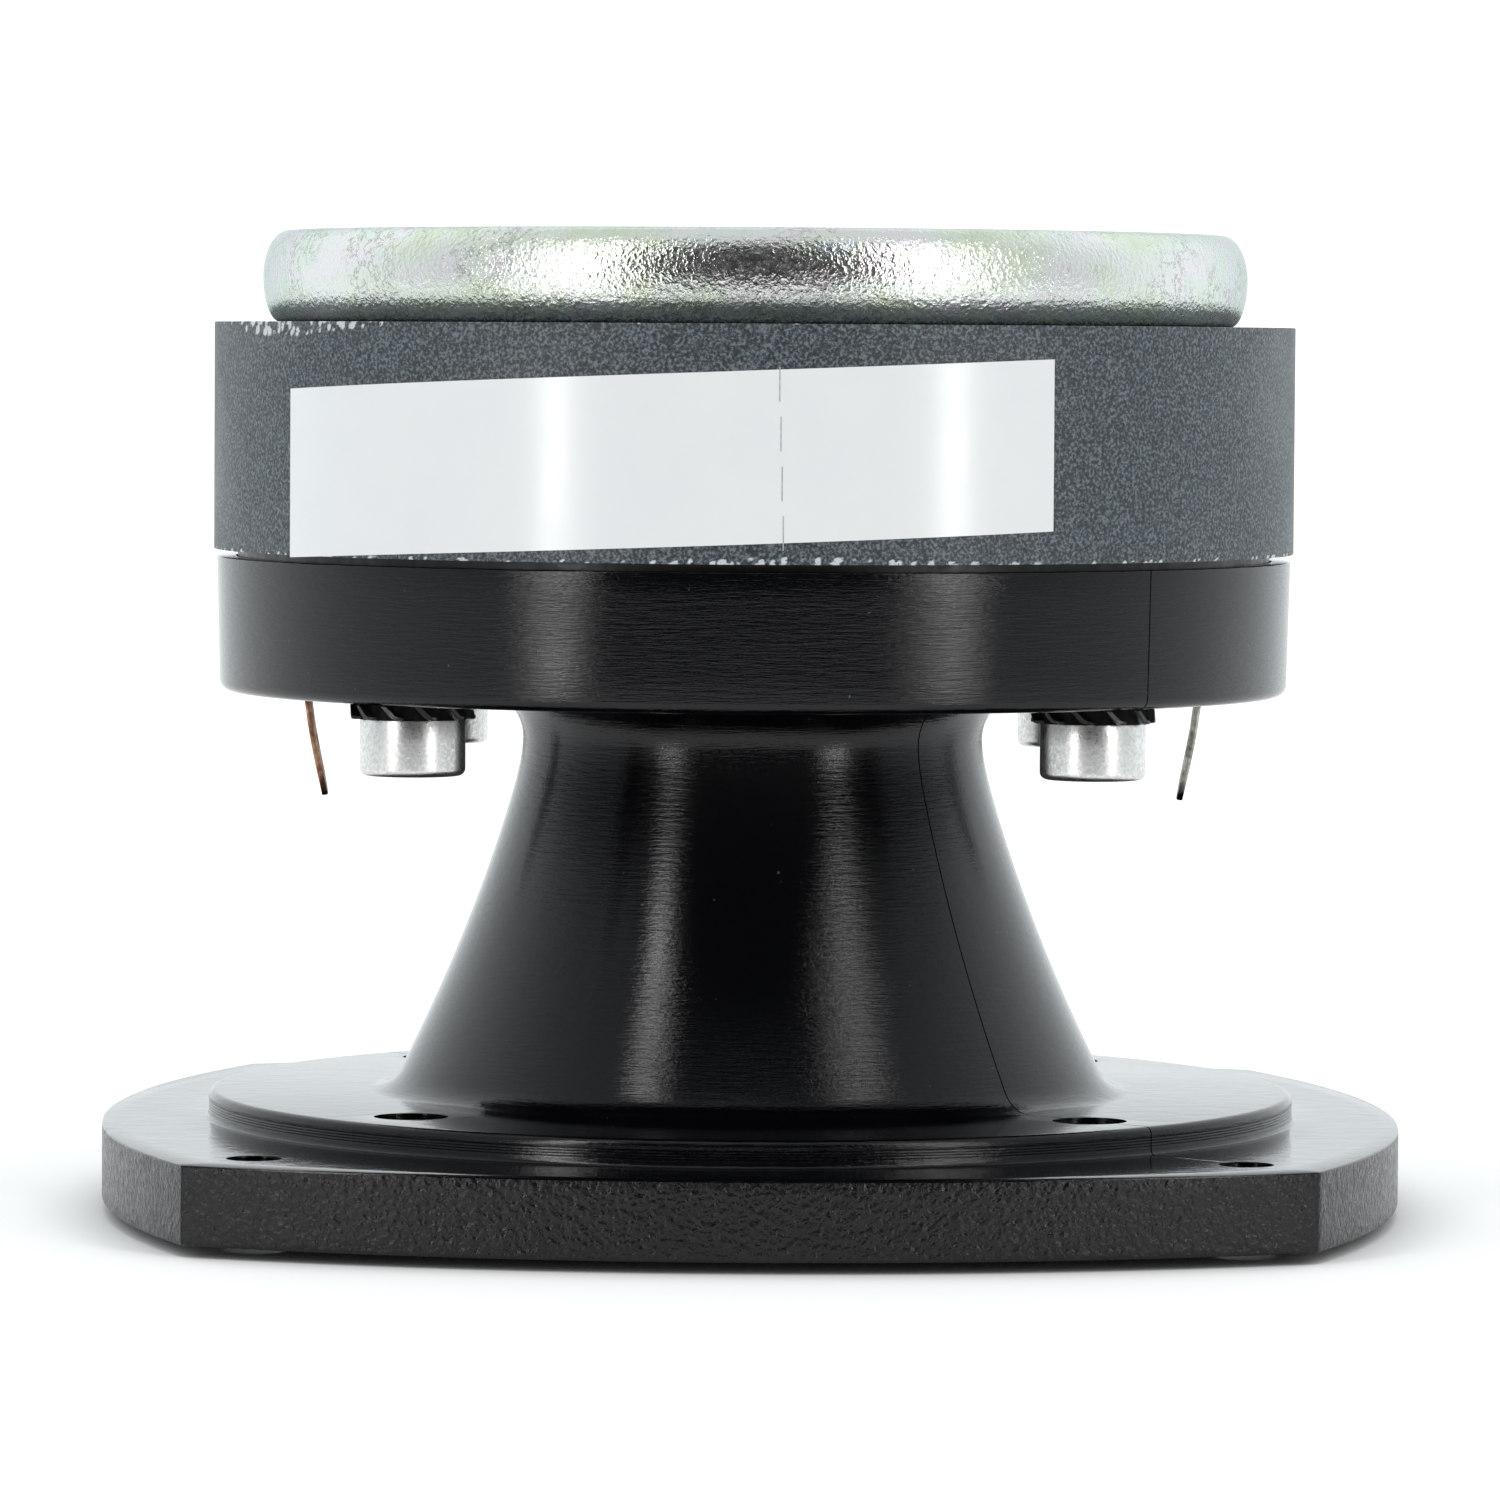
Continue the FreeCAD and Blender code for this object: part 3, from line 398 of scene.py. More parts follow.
def root(rule, low, high):
    # Where a rising rule crosses zero, by halving.
    for _ in range(40):
        middle = (low + high) / 2
        low, high = (middle, high) if rule(middle) < 0 else (low, middle)
    return (low + high) / 2


print("corner reach mm:", round(outline_radius(math.pi / 4), 2))

# %% [markdown]
# The flare follows a rule: a soft taper plus a parabola. The fillet at its foot has to touch both the
# flare and the flat boss. Its centre lies one radius away from the curve and one radius above the
# flat, so the place where they meet is found by halving an interval.

# %% The closed section, part by part
GROOVES = 4
GROOVE_START = 0.62
GROOVE_PITCH = 0.22
GROOVE_DEPTH = 0.02
BOSS_FOOT = 0.4
BOSS_ROUND = 0.6
DISC_TAPER = 0.25
DISC_ROUND = 0.9
DISC_RIM_ROUND = 0.15
FLARE_LENGTH = NECK_TOP - BOSS_TOP


def boss_wall():
    # Lathe marks: shallow grooves round the upper half of the wall.
    points = rounding((BOSS_RADIUS + BOSS_FOOT, FLANGE_TOP + BOSS_FOOT), BOSS_FOOT, 270, 180, 5)
    for i in range(GROOVES):
        low = FLANGE_TOP + GROOVE_START + GROOVE_PITCH * i
        points += [(BOSS_RADIUS, low), (BOSS_RADIUS - GROOVE_DEPTH, low + 0.07), (BOSS_RADIUS, low + 0.14)]
    return points + rounding((BOSS_RADIUS - BOSS_ROUND, BOSS_TOP - BOSS_ROUND), BOSS_ROUND, 2, 90, 7)


def flare_radius(depth):
    # Radius at a depth below the neck: the soft taper plus the parabola.
    def taper(d):
        return 0.25 * (d - 1.5 * (1 - math.exp(-d / 1.5)))
    bend = (FLARE_FOOT - NECK - taper(FLARE_LENGTH)) / FLARE_LENGTH ** 2
    return NECK + taper(depth) + bend * depth ** 2


def flare_slope(depth):
    return (flare_radius(depth + 0.01) - flare_radius(depth - 0.01)) / 0.02


def flare():
    def short_of(depth):
        s = flare_slope(depth)
        return BOSS_TOP + FOOT_FILLET - (NECK_TOP - depth + FOOT_FILLET * s / math.hypot(1, s))
    touch = root(short_of, 10.0, FLARE_LENGTH)
    s = flare_slope(touch)
    centre = flare_radius(touch) + FOOT_FILLET / math.hypot(1, s), BOSS_TOP + FOOT_FILLET
    points = rounding(centre, FOOT_FILLET, 270, 180 + math.degrees(math.atan(s)), 8)
    depths = [touch * (1 - i / 30) for i in range(1, 31)]
    points += [(flare_radius(depth), NECK_TOP - depth) for depth in depths]
    return points + rounding((NECK + NECK_FILLET, DISC_BOTTOM - NECK_FILLET), NECK_FILLET, 180, 90, 12)


def disc():
    # The wall tapers a little for the mould, and its lower edge has the larger rounding.
    low = DISC_RADIUS - DISC_TAPER
    points = [(30.0, DISC_BOTTOM), (38.0, DISC_BOTTOM)]
    points += rounding((low - DISC_ROUND, DISC_BOTTOM + DISC_ROUND), DISC_ROUND, 270, 358, 8)
    wall = DISC_RIM - DISC_RIM_ROUND - DISC_BOTTOM - DISC_ROUND
    points += [(low + DISC_TAPER * i / 5, DISC_BOTTOM + DISC_ROUND + wall * i / 5) for i in range(1, 6)]
    centre = DISC_RADIUS - DISC_RIM_ROUND, DISC_RIM - DISC_RIM_ROUND
    return points + rounding(centre, DISC_RIM_ROUND, 20, 90, 3)


def inside():
    # Recess for the motor, pocket of the diaphragm, plug seat, exponential passage and rounded mouth.
    points = [(MOTOR_POCKET, DISC_RIM), (MOTOR_POCKET, RECESS), (RING_POCKET, RECESS),
              (RING_POCKET, FILM), (FILM_POCKET, FILM), (FILM_POCKET, ROLL_FLOOR),
              (PLUG_POCKET, ROLL_FLOOR), (PLUG_POCKET, PLUG_SEAT), (THROAT, PLUG_SEAT)]
    rate = math.log(MOUTH / THROAT) / PLUG_SEAT

    def passage(z):
        return THROAT * math.exp(rate * (PLUG_SEAT - z))

    def above(z):
        s = rate * passage(z)
        return z + MOUTH_ROUND * s / math.hypot(1, s) - MOUTH_ROUND
    touch = root(above, 0.0, MOUTH_ROUND)
    s = rate * passage(touch)
    heights = [PLUG_SEAT + (touch - PLUG_SEAT) * i / 24 for i in range(1, 24)]
    points += [(passage(z), z) for z in heights]
    centre = passage(touch) + MOUTH_ROUND / math.hypot(1, s), MOUTH_ROUND
    points += rounding(centre, MOUTH_ROUND, 180 + math.degrees(math.atan(s)), 270, 6)
    return points + [(RIM_RADIUS - 0.2, 0.0), (RIM_RADIUS - 0.06, 0.06), (RIM_RADIUS, 0.2)]


def flange():
    # Given as (share of the way to the outline, height, inset, sand): the outline stretches these.
    turns = [math.radians(t) for t in (0, 22, 45, 67, 90)]
    low, wall = FLANGE_BOTTOM + 0.35, FLANGE_TOP - FLANGE_BOTTOM - 0.55
    edge = [(1.0, low - 0.35 * math.cos(t), 0.35 - 0.35 * math.sin(t), 1) for t in turns]
    side = [(1.0, low + wall * i / 5, 0.0, 1) for i in range(1, 5)]
    top = [(1.0, FLANGE_TOP - 0.16, 0.0, 1), (1.0, FLANGE_TOP - 0.05, 0.05, 0), (1.0, FLANGE_TOP, 0.16, 0)]
    under = [(share, FLANGE_BOTTOM, 0.0, 0) for share in (0.0, 0.35, 0.75)]
    return under + edge + side + top + [(0.8, FLANGE_TOP, 0.0, 0), (0.35, FLANGE_TOP, 0.0, 0)]


for rule in (flange, boss_wall, flare, disc, inside):
    print(rule.__name__, "points:", len(rule()))

# %% [markdown]
# Two of the mould's marks go in here as well. The parting line is a pair of extra stations beside a
# sunken one, so that it costs almost no faces, and the faces between them are darker. The flange's
# upper edge was trimmed by hand on one side, and is a little ragged there.

# %% Sweep the section
STATIONS = 480
SEAM_ANGLES = (-45.0, 135.0)
SEAM_STEP = 0.07
SEAM_RISE = -0.05
RAGGED = 0.11


def stations():
    # Angle in radians and, on the parting line, a sideways step in mm and how far it sinks in.
    rows = [(math.radians(i * 360.0 / STATIONS), 0.0, 0.0) for i in range(STATIONS)]
    for seam in SEAM_ANGLES:
        at = int(round(seam % 360 * STATIONS / 360.0))
        base = rows[at][0]
        rows[at] = [(base, k * SEAM_STEP, SEAM_RISE if k == 0 else 0.0) for k in (-1, 0, 1)]
    flat = []
    for row in rows:
        flat += row if isinstance(row, list) else [row]
    return flat


def horn_mesh():
    flanged = flange()
    outer = len(boss_wall()) + len(flare()) + len(disc())
    turned = boss_wall() + flare() + disc() + inside()
    sweep = stations()
    count = len(flanged) + len(turned)
    places = np.zeros((len(sweep), count, 3))
    ragged = np.convolve(np.random.default_rng(11).random(STATIONS + 8), np.ones(3) / 3, "same")
    for i, (angle, side, rise) in enumerate(sweep):
        reach = outline_radius(angle)
        section = []
        for share, z, inset, _ in flanged:
            inner = RIM_RADIUS if z < FLANGE_BOTTOM + 0.01 and share < 1 else BOSS_RADIUS + BOSS_FOOT
            section.append((inner + (reach - inner) * share - inset, z))
        section += turned
        left = max(0.0, -math.cos(angle - 0.4)) ** 2
        burr = RAGGED * left * max(0.0, ragged[i % STATIONS] - 0.45)
        for j, (r, z) in enumerate(section):
            before, after = section[j - 1], section[(j + 1) % count]
            normal = Vector((after[1] - before[1], before[0] - after[0])).normalized()
            lift = rise if len(flanged) <= j < len(flanged) + outer else 0.0
            turn = angle + side / r
            r, z = r + lift * normal[0], z + lift * normal[1]
            if j < len(flanged) and flanged[j][1] > FLANGE_TOP - 0.2 and flanged[j][0] == 1.0:
                r -= burr
            places[i, j] = (r * math.cos(turn), r * math.sin(turn), z)
    around, across = len(sweep), count
    faces, kinds = [], []
    for i in range(around):
        for j in range(across):
            a, b = (i + 1) % around, (j + 1) % across
            faces.append((i * across + j, a * across + j, a * across + b, i * across + b))
            both = j + 1 < len(flanged) and flanged[j][3] and flanged[j + 1][3]
            on_line = (sweep[i][2] or sweep[a][2]) and len(flanged) <= j < len(flanged) + outer
            kinds.append(1 if both else 2 if on_line else 0)
    mesh = bpy.data.meshes.new("horn_moulding")
    mesh.from_pydata((places.reshape(-1, 3) * MM).tolist(), [], faces)
    mesh.polygons.foreach_set("material_index", kinds)
    mesh.update()
    return mesh


# %% Helpers for finished meshes


def outward(mesh):
    # Turns a closed mesh so that its faces look out, and reports its volume and open edges.
    work = bmesh.new()
    work.from_mesh(mesh)
    volume = work.calc_volume(signed=True)
    if volume < 0:
        bmesh.ops.reverse_faces(work, faces=work.faces)
    open_edges = sum(1 for e in work.edges if not e.is_manifold)
    work.to_mesh(mesh)
    work.free()
    return round(abs(volume) / MM ** 3, 1), open_edges


def show(name, mesh):
    piece = bpy.data.objects.new(name, mesh)
    bpy.context.scene.collection.objects.link(piece)
    return piece


def smooth(mesh, angle=30.0):
    mesh.polygons.foreach_set("use_smooth", [True] * len(mesh.polygons))
    mesh.set_sharp_from_angle(angle=math.radians(angle))


def as_mesh(work, name):
    # Keeps what was built as a mesh and lets the workshop copy go.
    mesh = bpy.data.meshes.new(name)
    work.to_mesh(mesh)
    work.free()
    return mesh


def cut_with(mesh, tool):
    # The first mesh without the second, by an exact boolean.
    target, cutter = show(mesh.name, mesh), show("cutter", tool)
    cut = target.modifiers.new("cut", "BOOLEAN")
    cut.operation, cut.solver, cut.object = "DIFFERENCE", "EXACT", cutter
    result = bpy.data.meshes.new_from_object(target.evaluated_get(bpy.context.evaluated_depsgraph_get()))
    bpy.data.objects.remove(target)
    bpy.data.objects.remove(cutter)
    return result


moulding = horn_mesh()
for finish in ("horn_plastic", "sand_texture", "parting_line"):
    moulding.materials.append(finishes[finish])
print("horn volume mm3, open edges:", outward(moulding))

# %% [markdown]
# ## The holes of the horn
# Mounting holes in the flange's corners, key holes through the boss above the cap screws, clearance
# holes in the disc, and two slots for the tabs. All cutters go into one mesh and one exact boolean,
# which is quicker and cleaner than many.

# %% Cutters
SCREW_CIRCLE = 38.6
MOUNT_REACH = 39.2
MOUNT_HOLE = 2.2
KEY_HOLE = 3.0
SCREW_HOLE = 2.75
SLOT_HALF = 1.55


def rod(work, x, y, radius, low, high, sides=56):
    place = Matrix.Translation((x * MM, y * MM, (low + high) / 2 * MM))
    bmesh.ops.create_cone(work, cap_ends=True, segments=sides, radius1=radius * MM, radius2=radius * MM,
                          depth=(high - low) * MM, matrix=place)


def prism(work, corners, half):
    # A flat shape in the XZ plane, given a thickness along Y.
    face = work.faces.new([work.verts.new((x * MM, -half * MM, z * MM)) for x, z in corners])
    grown = bmesh.ops.extrude_face_region(work, geom=[face])
    moved = [v for v in grown["geom"] if isinstance(v, bmesh.types.BMVert)]
    bmesh.ops.translate(work, verts=moved, vec=(0, 2 * half * MM, 0))
    bmesh.ops.recalc_face_normals(work, faces=work.faces)


work = bmesh.new()
for turn in range(4):
    angle = math.radians(45 + 90 * turn)
    across = math.cos(angle), math.sin(angle)
    reach = MOUNT_REACH * math.sqrt(2)
    rod(work, reach * across[0], reach * across[1], MOUNT_HOLE, -1.0, FLANGE_TOP + 1.0)
    x, y = SCREW_CIRCLE * across[0], SCREW_CIRCLE * across[1]
    rod(work, x, y, KEY_HOLE, -1.0, BOSS_TOP + 1.0)
    rod(work, x, y, SCREW_HOLE, DISC_BOTTOM - 1.0, RECESS + 1.0)
for side in (-1, 1):
    slot = [(36.95, DISC_BOTTOM - 1.0), (37.75, DISC_BOTTOM - 1.0), (37.75, RECESS + 1.0),
            (27.6, RECESS + 1.0), (27.6, RECESS - 0.5), (36.95, RECESS - 0.5)]
    prism(work, [(side * x, z) for x, z in slot], SLOT_HALF)
cutters = as_mesh(work, "cutters")
print("cutter faces:", len(cutters.polygons))

# %% Cut the holes
drilled = cut_with(moulding, cutters)
horn = show("horn_moulding", drilled)
smooth(drilled)
print("horn after drilling, mm3 and open edges:", outward(drilled), "faces", len(drilled.polygons))
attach(horn, "frame")
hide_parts("horn_body")

# %% [markdown]
# ## Two small Geometry Nodes tools
# Most of the other pieces are turned on a lathe or repeated round a circle. Both are rules, so both
# are node trees here. The first one spins a profile round the axis. The second one sets copies of a
# shape round a circle, each turned a little further if it is asked to.

# %% Tree helpers


def new_tree(name, sockets):
    tree = bpy.data.node_groups.new(name, "GeometryNodeTree")
    tree.interface.new_socket(name="Geometry", in_out="INPUT", socket_type="NodeSocketGeometry")
    for label, kind in sockets:
        tree.interface.new_socket(name=label, in_out="INPUT", socket_type="NodeSocket" + kind)
    tree.interface.new_socket(name="Geometry", in_out="OUTPUT", socket_type="NodeSocketGeometry")
    return tree, add(tree, "NodeGroupInput").outputs


def close_tree(tree, geometry, material):
    real = add(tree, "GeometryNodeRealizeInstances", {0: geometry}).outputs[0]
    dressed = add(tree, "GeometryNodeSetMaterial", {"Geometry": real, "Material": material}).outputs[0]
    add(tree, "NodeGroupOutput", {0: dressed})


def bake(name, mesh, tree, values):
    # Runs a tree on a mesh and returns the result as a plain mesh.
    carrier = show(name, mesh)
    nodes = carrier.modifiers.new("nodes", "NODES")
    nodes.node_group = tree
    for item in tree.interface.items_tree:
        if item.in_out == "INPUT" and item.name in values:
            nodes[item.identifier] = values[item.name]
    carrier.data.update()
    result = bpy.data.meshes.new_from_object(carrier.evaluated_get(bpy.context.evaluated_depsgraph_get()))
    bpy.data.objects.remove(carrier)
    result.name = name
    return result


print("tree helpers ready")

# %% The lathe
lathe, given = new_tree("lathe", [("Sides", "Int"), ("Path Radius", "Float"), ("Material", "Material")])
profile = add(lathe, "GeometryNodeMeshToCurve", {0: given["Geometry"]}).outputs[0]
circle = add(lathe, "GeometryNodeCurvePrimitiveCircle",
             {"Resolution": given["Sides"], "Radius": given["Path Radius"]}).outputs["Curve"]
spun = add(lathe, "GeometryNodeCurveToMesh", {"Curve": circle, "Profile Curve": profile}).outputs[0]
closed = add(lathe, "GeometryNodeMergeByDistance", {"Geometry": spun, "Distance": 0.000001}).outputs[0]
close_tree(lathe, closed, given["Material"])


def turned(name, profile, sides, finish, ring=False):
    # The profile is a list of (radius, height) in mm. A ring's profile comes back to its start.
    path = 10.0
    edges = [(i, i + 1) for i in range(len(profile) - 1)]
    if ring:
        edges.append((len(profile) - 1, 0))
    mesh = bpy.data.meshes.new(name)
    mesh.from_pydata([((r - path) * MM, -z * MM, 0.0) for r, z in profile], edges, [])
    made = bake(name, mesh, lathe, {"Sides": sides, "Path Radius": path * MM, "Material": finishes[finish]})
    print(name, "mm3 and open edges:", outward(made), "faces", len(made.polygons))
    return made


# %% Copies round a circle
wheel, given = new_tree("wheel", [("Count", "Int"), ("Radius", "Float"), ("First Angle", "Float"),
                                  ("Own Turn", "Float"), ("Material", "Material")])
step = add(wheel, "ShaderNodeMath", {0: math.tau, 1: given["Count"]}, operation="DIVIDE").outputs[0]
index = add(wheel, "GeometryNodeInputIndex").outputs[0]
angle = add(wheel, "ShaderNodeMath", {0: index, 1: step, 2: given["First Angle"]},
            operation="MULTIPLY_ADD").outputs[0]
cosine = add(wheel, "ShaderNodeMath", {0: angle}, operation="COSINE").outputs[0]
sine = add(wheel, "ShaderNodeMath", {0: angle}, operation="SINE").outputs[0]
unit = add(wheel, "ShaderNodeCombineXYZ", {"X": cosine, "Y": sine}).outputs[0]
place = add(wheel, "ShaderNodeVectorMath", {0: unit, "Scale": given["Radius"]}, operation="SCALE").outputs[0]
points = add(wheel, "GeometryNodePoints", {"Count": given["Count"], "Position": place}).outputs[0]
turn = add(wheel, "ShaderNodeMath", {0: index, 1: given["Own Turn"], 2: angle},
           operation="MULTIPLY_ADD").outputs[0]
facing = add(wheel, "ShaderNodeCombineXYZ", {"Z": turn}).outputs[0]
copies = add(wheel, "GeometryNodeInstanceOnPoints",
             {"Points": points, "Instance": given["Geometry"], "Rotation": facing}).outputs[0]
close_tree(wheel, copies, given["Material"])
print("lathe and wheel ready")

# %% [markdown]
# ## Back plate
# The plate and its centre pole are one turned piece, so the lathe tree makes it. The edge is
# barrel-shaped: two quarter ellipses meet at the widest point, the lower one smaller. A fine profile
# matters here, because every small kink would show in so bright a surface.

# %% Back plate
MAGNET_LOW = 54.6
MAGNET_HIGH = 73.4
TOP = 81.0
BELLY = 77.2
POLE_RADIUS = 12.15


def ellipse(centre, reach, rise, start, end, steps):
    turns = [math.radians(start + (end - start) * i / steps) for i in range(steps + 1)]
    return [(centre + reach * math.sin(t), BELLY + rise * math.cos(t)) for t in turns]


barrel = ellipse(38.9, 2.1, TOP - BELLY, 0, 90, 18)
barrel += ellipse(39.55, 1.45, BELLY - MAGNET_HIGH, 90, 180, 16)[1:]
face = [(0.0, TOP)] + [(r, TOP) for r in (6, 12, 18, 24, 30, 35, 38)]
pole = [(30.0, MAGNET_HIGH), (20.0, MAGNET_HIGH), (POLE_RADIUS, MAGNET_HIGH), (POLE_RADIUS, 49.0),
        (POLE_RADIUS - 0.4, 48.6), (0.0, 48.6)]
plate = show("plated_yoke", turned("plated_yoke", face + barrel + pole, 256, "zinc_plate"))
smooth(plate.data, 32)
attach(plate, "frame")
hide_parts("back_plate")

# %% [markdown]
# ## Magnet with crumbled edges
# Ferrite is brittle, and its edges crumble when the halves of a motor snap together. The lathe gives
# a ring with narrow rows of faces near both outer edges. Then each point near an edge is pushed in
# where a noise is high. Long narrow scratches stand along the top left, and small grains along the
# whole lower edge. How far a point went in is kept in the attribute "chip" for the finish.

# %% Magnet
MAGNET_RADIUS = 45.0
MAGNET_BORE = 22.5
EDGE_ROW = 0.16
EDGE_ROWS = 9
MAGNET_SIDES = 960

wall = [MAGNET_LOW + EDGE_ROW * i for i in range(EDGE_ROWS)]
wall += [MAGNET_LOW + 1.6 + (MAGNET_HIGH - MAGNET_LOW - 3.2) * i / 6 for i in range(7)]
wall += [MAGNET_HIGH - EDGE_ROW * i for i in reversed(range(EDGE_ROWS))]
wall[0] += 0.05
wall[-1] -= 0.05
rim = [MAGNET_RADIUS - 0.05 - 0.2 * i for i in range(5)]
section = [(MAGNET_RADIUS, z) for z in wall] + [(r, MAGNET_HIGH) for r in rim]
section += [(MAGNET_BORE, MAGNET_HIGH), (MAGNET_BORE, MAGNET_LOW)]
section += [(r, MAGNET_LOW) for r in reversed(rim)]
ring_mesh = turned("crumbled_magnet", section, MAGNET_SIDES, "ferrite", ring=True)

# %% Where the edges crumbled
CHIP_BAND = 1.5
CHIP_REACH = 0.34
CHIP_LIMIT = 0.3
CHIP_GAIN = 14.0


def noise_at(place):
    return noise_field.noise(Vector(place)) + 0.5 * noise_field.noise(Vector(place) * 2.3)


def bell(value, middle, width):
    return math.exp(-((value - middle) / width) ** 2)


def chip_depth(co):
    # Depth in mm at a point of the mesh, from where it lies and what the noise says.
    x, y, z = (v / MM for v in co)
    if math.hypot(x, y) < MAGNET_RADIUS - 0.3 or MAGNET_LOW + CHIP_BAND < z < MAGNET_HIGH - CHIP_BAND:
        return 0.0
    around = math.degrees(math.atan2(x, -y))
    along = math.radians(around) * MAGNET_RADIUS
    if z > MAGNET_HIGH - CHIP_BAND:
        from_edge = MAGNET_HIGH - z
        crowd = 0.12 + 0.40 * max(bell(around, -60, 13), 0.95 * bell(around, -46, 8))
        crowd += 0.12 * bell(around, 150, 30)
        length = 0.30 + 0.95 * bell(around, -58, 13)
        value = noise_at((along * 2.6, z * 0.7, 3.0))
    else:
        from_edge = z - MAGNET_LOW
        crowd = 0.36 + 0.10 * bell(around, 5, 12) + 0.06 * math.sin(around * 0.11)
        length = 0.30 + 0.35 * bell(around, 3, 13)
        value = noise_at((along * 1.9, z * 1.6, 9.0))
    fade = max(0.0, 1.0 - (from_edge / length) ** 2)
    return CHIP_REACH * max(0.0, value - (0.5 - crowd) * 2.0) * fade


# %% Push the points in
depths = [chip_depth(v.co) for v in ring_mesh.vertices]
for vertex, depth in zip(ring_mesh.vertices, depths):
    if depth > 0.0:
        flat = Vector((vertex.co.x, vertex.co.y, 0.0))
        vertex.co -= flat.normalized() * min(depth, CHIP_LIMIT) * MM
chip_mark = ring_mesh.attributes.new("chip", "FLOAT", "POINT")
chip_mark.data.foreach_set("value", [min(1.0, d * CHIP_GAIN) for d in depths])
ring_mesh.update()
magnet = show("crumbled_magnet", ring_mesh)
smooth(ring_mesh, 40)
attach(magnet, "frame")
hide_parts("magnet_ring")
print("chipped points:", sum(d > 0 for d in depths), "of", len(depths))

# %% [markdown]
# ## Cap screws
# Four M5 socket head screws, heads down. One head is turned on the lathe with its rounded end and
# the small step under it, the hexagon socket is cut with a boolean, and the wheel tree sets four of
# them. The head's end is rounded and the socket has the usual small cone at its mouth.

# %% One screw, turned
SEAT = 42.05
HEAD = 4.25
HEAD_HEIGHT = 5.0
HEXAGON = 4.0

head = [(0.0, SEAT - HEAD_HEIGHT)] + rounding((HEAD - 0.6, SEAT - 4.4), 0.6, 270, 360, 8)
head += [(HEAD, SEAT - 2.2), (HEAD, SEAT - 0.18), (HEAD - 0.06, SEAT - 0.05), (HEAD - 0.2, SEAT)]
shank = [(2.5, SEAT), (2.5, SEAT + 11.5), (2.0, SEAT + 12.0), (0.0, SEAT + 12.0)]
blank = turned("screw", head + shank, 72, "screw_steel")

# %% The socket
work = bmesh.new()
rod(work, 0, 0, HEXAGON / math.sqrt(3), SEAT - HEAD_HEIGHT - 0.5, SEAT - 2.4, sides=6)
socket = as_mesh(work, "socket")


def countersink():
    # The cone at the socket's mouth, a little wider than the hexagon's corners.
    work = bmesh.new()
    place = Matrix.Translation((0, 0, (SEAT - HEAD_HEIGHT) * MM))
    bmesh.ops.create_cone(work, cap_ends=True, segments=48, radius1=2.75 * MM, radius2=1.95 * MM,
                          depth=0.8 * MM, matrix=place)
    return as_mesh(work, "countersink")


one_screw = cut_with(cut_with(blank, socket), countersink())
print("one screw, faces:", len(one_screw.polygons))

# %% Four screws
corners = {"Count": 4, "Radius": SCREW_CIRCLE * MM, "First Angle": math.radians(45)}
all_screws = bake("socket_screws", one_screw, wheel,
                  {**corners, "Own Turn": 0.5, "Material": finishes["screw_steel"]})
screws = show("socket_screws", all_screws)
smooth(all_screws, 35)
print("screws, mm3 and open edges:", outward(all_screws), "faces", len(all_screws.polygons))
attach(screws, "frame")
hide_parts("cap_screw_1", "cap_screw_2", "cap_screw_3", "cap_screw_4")

# %% [markdown]
# ## Toothed lock washers
# Under each head sits a washer whose eleven teeth are twisted, so that they bite. Seen from the side
# a tooth is a slanted blade with a short flat foot. Its outline is drawn flat, given a thickness
# along the radius, and the wheel tree repeats it, once for the teeth and once more for the four
# washers, which are all turned differently. The band behind the teeth is in shade, and that shade is
# painted as a deeper black, so the two are baked apart and joined in one mesh with two materials.

# %% One tooth
TEETH = 11
WASHER_TOP = DISC_BOTTOM
TOOTH_START = 4.12
TOOTH_END = 5.0


def tooth():
    # Points in the tangent and height directions, with the tooth's blade slanting down.
    outline = [(-1.02, 0.0), (-0.52, 0.0), (0.42, -0.84), (0.66, -0.98), (0.98, -1.0), (0.98, -1.24),
               (0.5, -1.24), (0.12, -1.1), (-0.16, -0.88)]
    work = bmesh.new()
    rings = []
    for radius, squeeze in ((TOOTH_START, 1.0), (4.75, 1.0), (TOOTH_END - 0.06, 0.94), (TOOTH_END, 0.8)):
        base = WASHER_TOP - 0.62 * (1 - squeeze)
        ring = [(radius * MM, (t * squeeze + 0.05) * MM, (base + z * squeeze) * MM) for t, z in outline]
        rings.append([work.verts.new(point) for point in ring])
    for low, high in zip(rings, rings[1:]):
        for i in range(len(outline)):
            j = (i + 1) % len(outline)
            work.faces.new((low[i], low[j], high[j], high[i]))
    work.faces.new(rings[0])
    work.faces.new(rings[-1])
    bmesh.ops.recalc_face_normals(work, faces=work.faces)
    return as_mesh(work, "tooth")


teeth = bake("teeth", tooth(), wheel, {"Count": TEETH, "Radius": 0.0, "First Angle": 0.0, "Own Turn": 0.0,
                                       "Material": finishes["washer_black"]})
print("teeth faces:", len(teeth.polygons))

# %% Four washers
band = [(2.7, WASHER_TOP - 0.8), (4.27, WASHER_TOP - 0.8), (4.27, WASHER_TOP - 1.26),
        (4.34, WASHER_TOP - 1.26), (4.36, WASHER_TOP - 1.2), (4.36, WASHER_TOP - 0.02),
        (4.34, WASHER_TOP), (2.7, WASHER_TOP)]
# The band behind the teeth takes the washer's painted shade finish.
flat_ring = turned("washer_band", band, 66, "washer_painted_shade", ring=True)
four = {**corners, "Own Turn": math.radians(13.0)}
sets = [bake("four_bands", flat_ring, wheel, {**four, "Material": finishes["washer_painted_shade"]}),
        bake("four_tooth_rings", teeth, wheel, {**four, "Material": finishes["washer_black"]})]
work = bmesh.new()
for slot_number, mesh in enumerate(sets):
    first_new = len(work.faces)
    work.from_mesh(mesh)
    work.faces.ensure_lookup_table()
    for made_face in work.faces[first_new:]:
        made_face.material_index = slot_number
all_washers = as_mesh(work, "toothed_washers")
all_washers.materials.append(finishes["washer_painted_shade"])
all_washers.materials.append(finishes["washer_black"])
washers = show("toothed_washers", all_washers)
smooth(all_washers, 28)
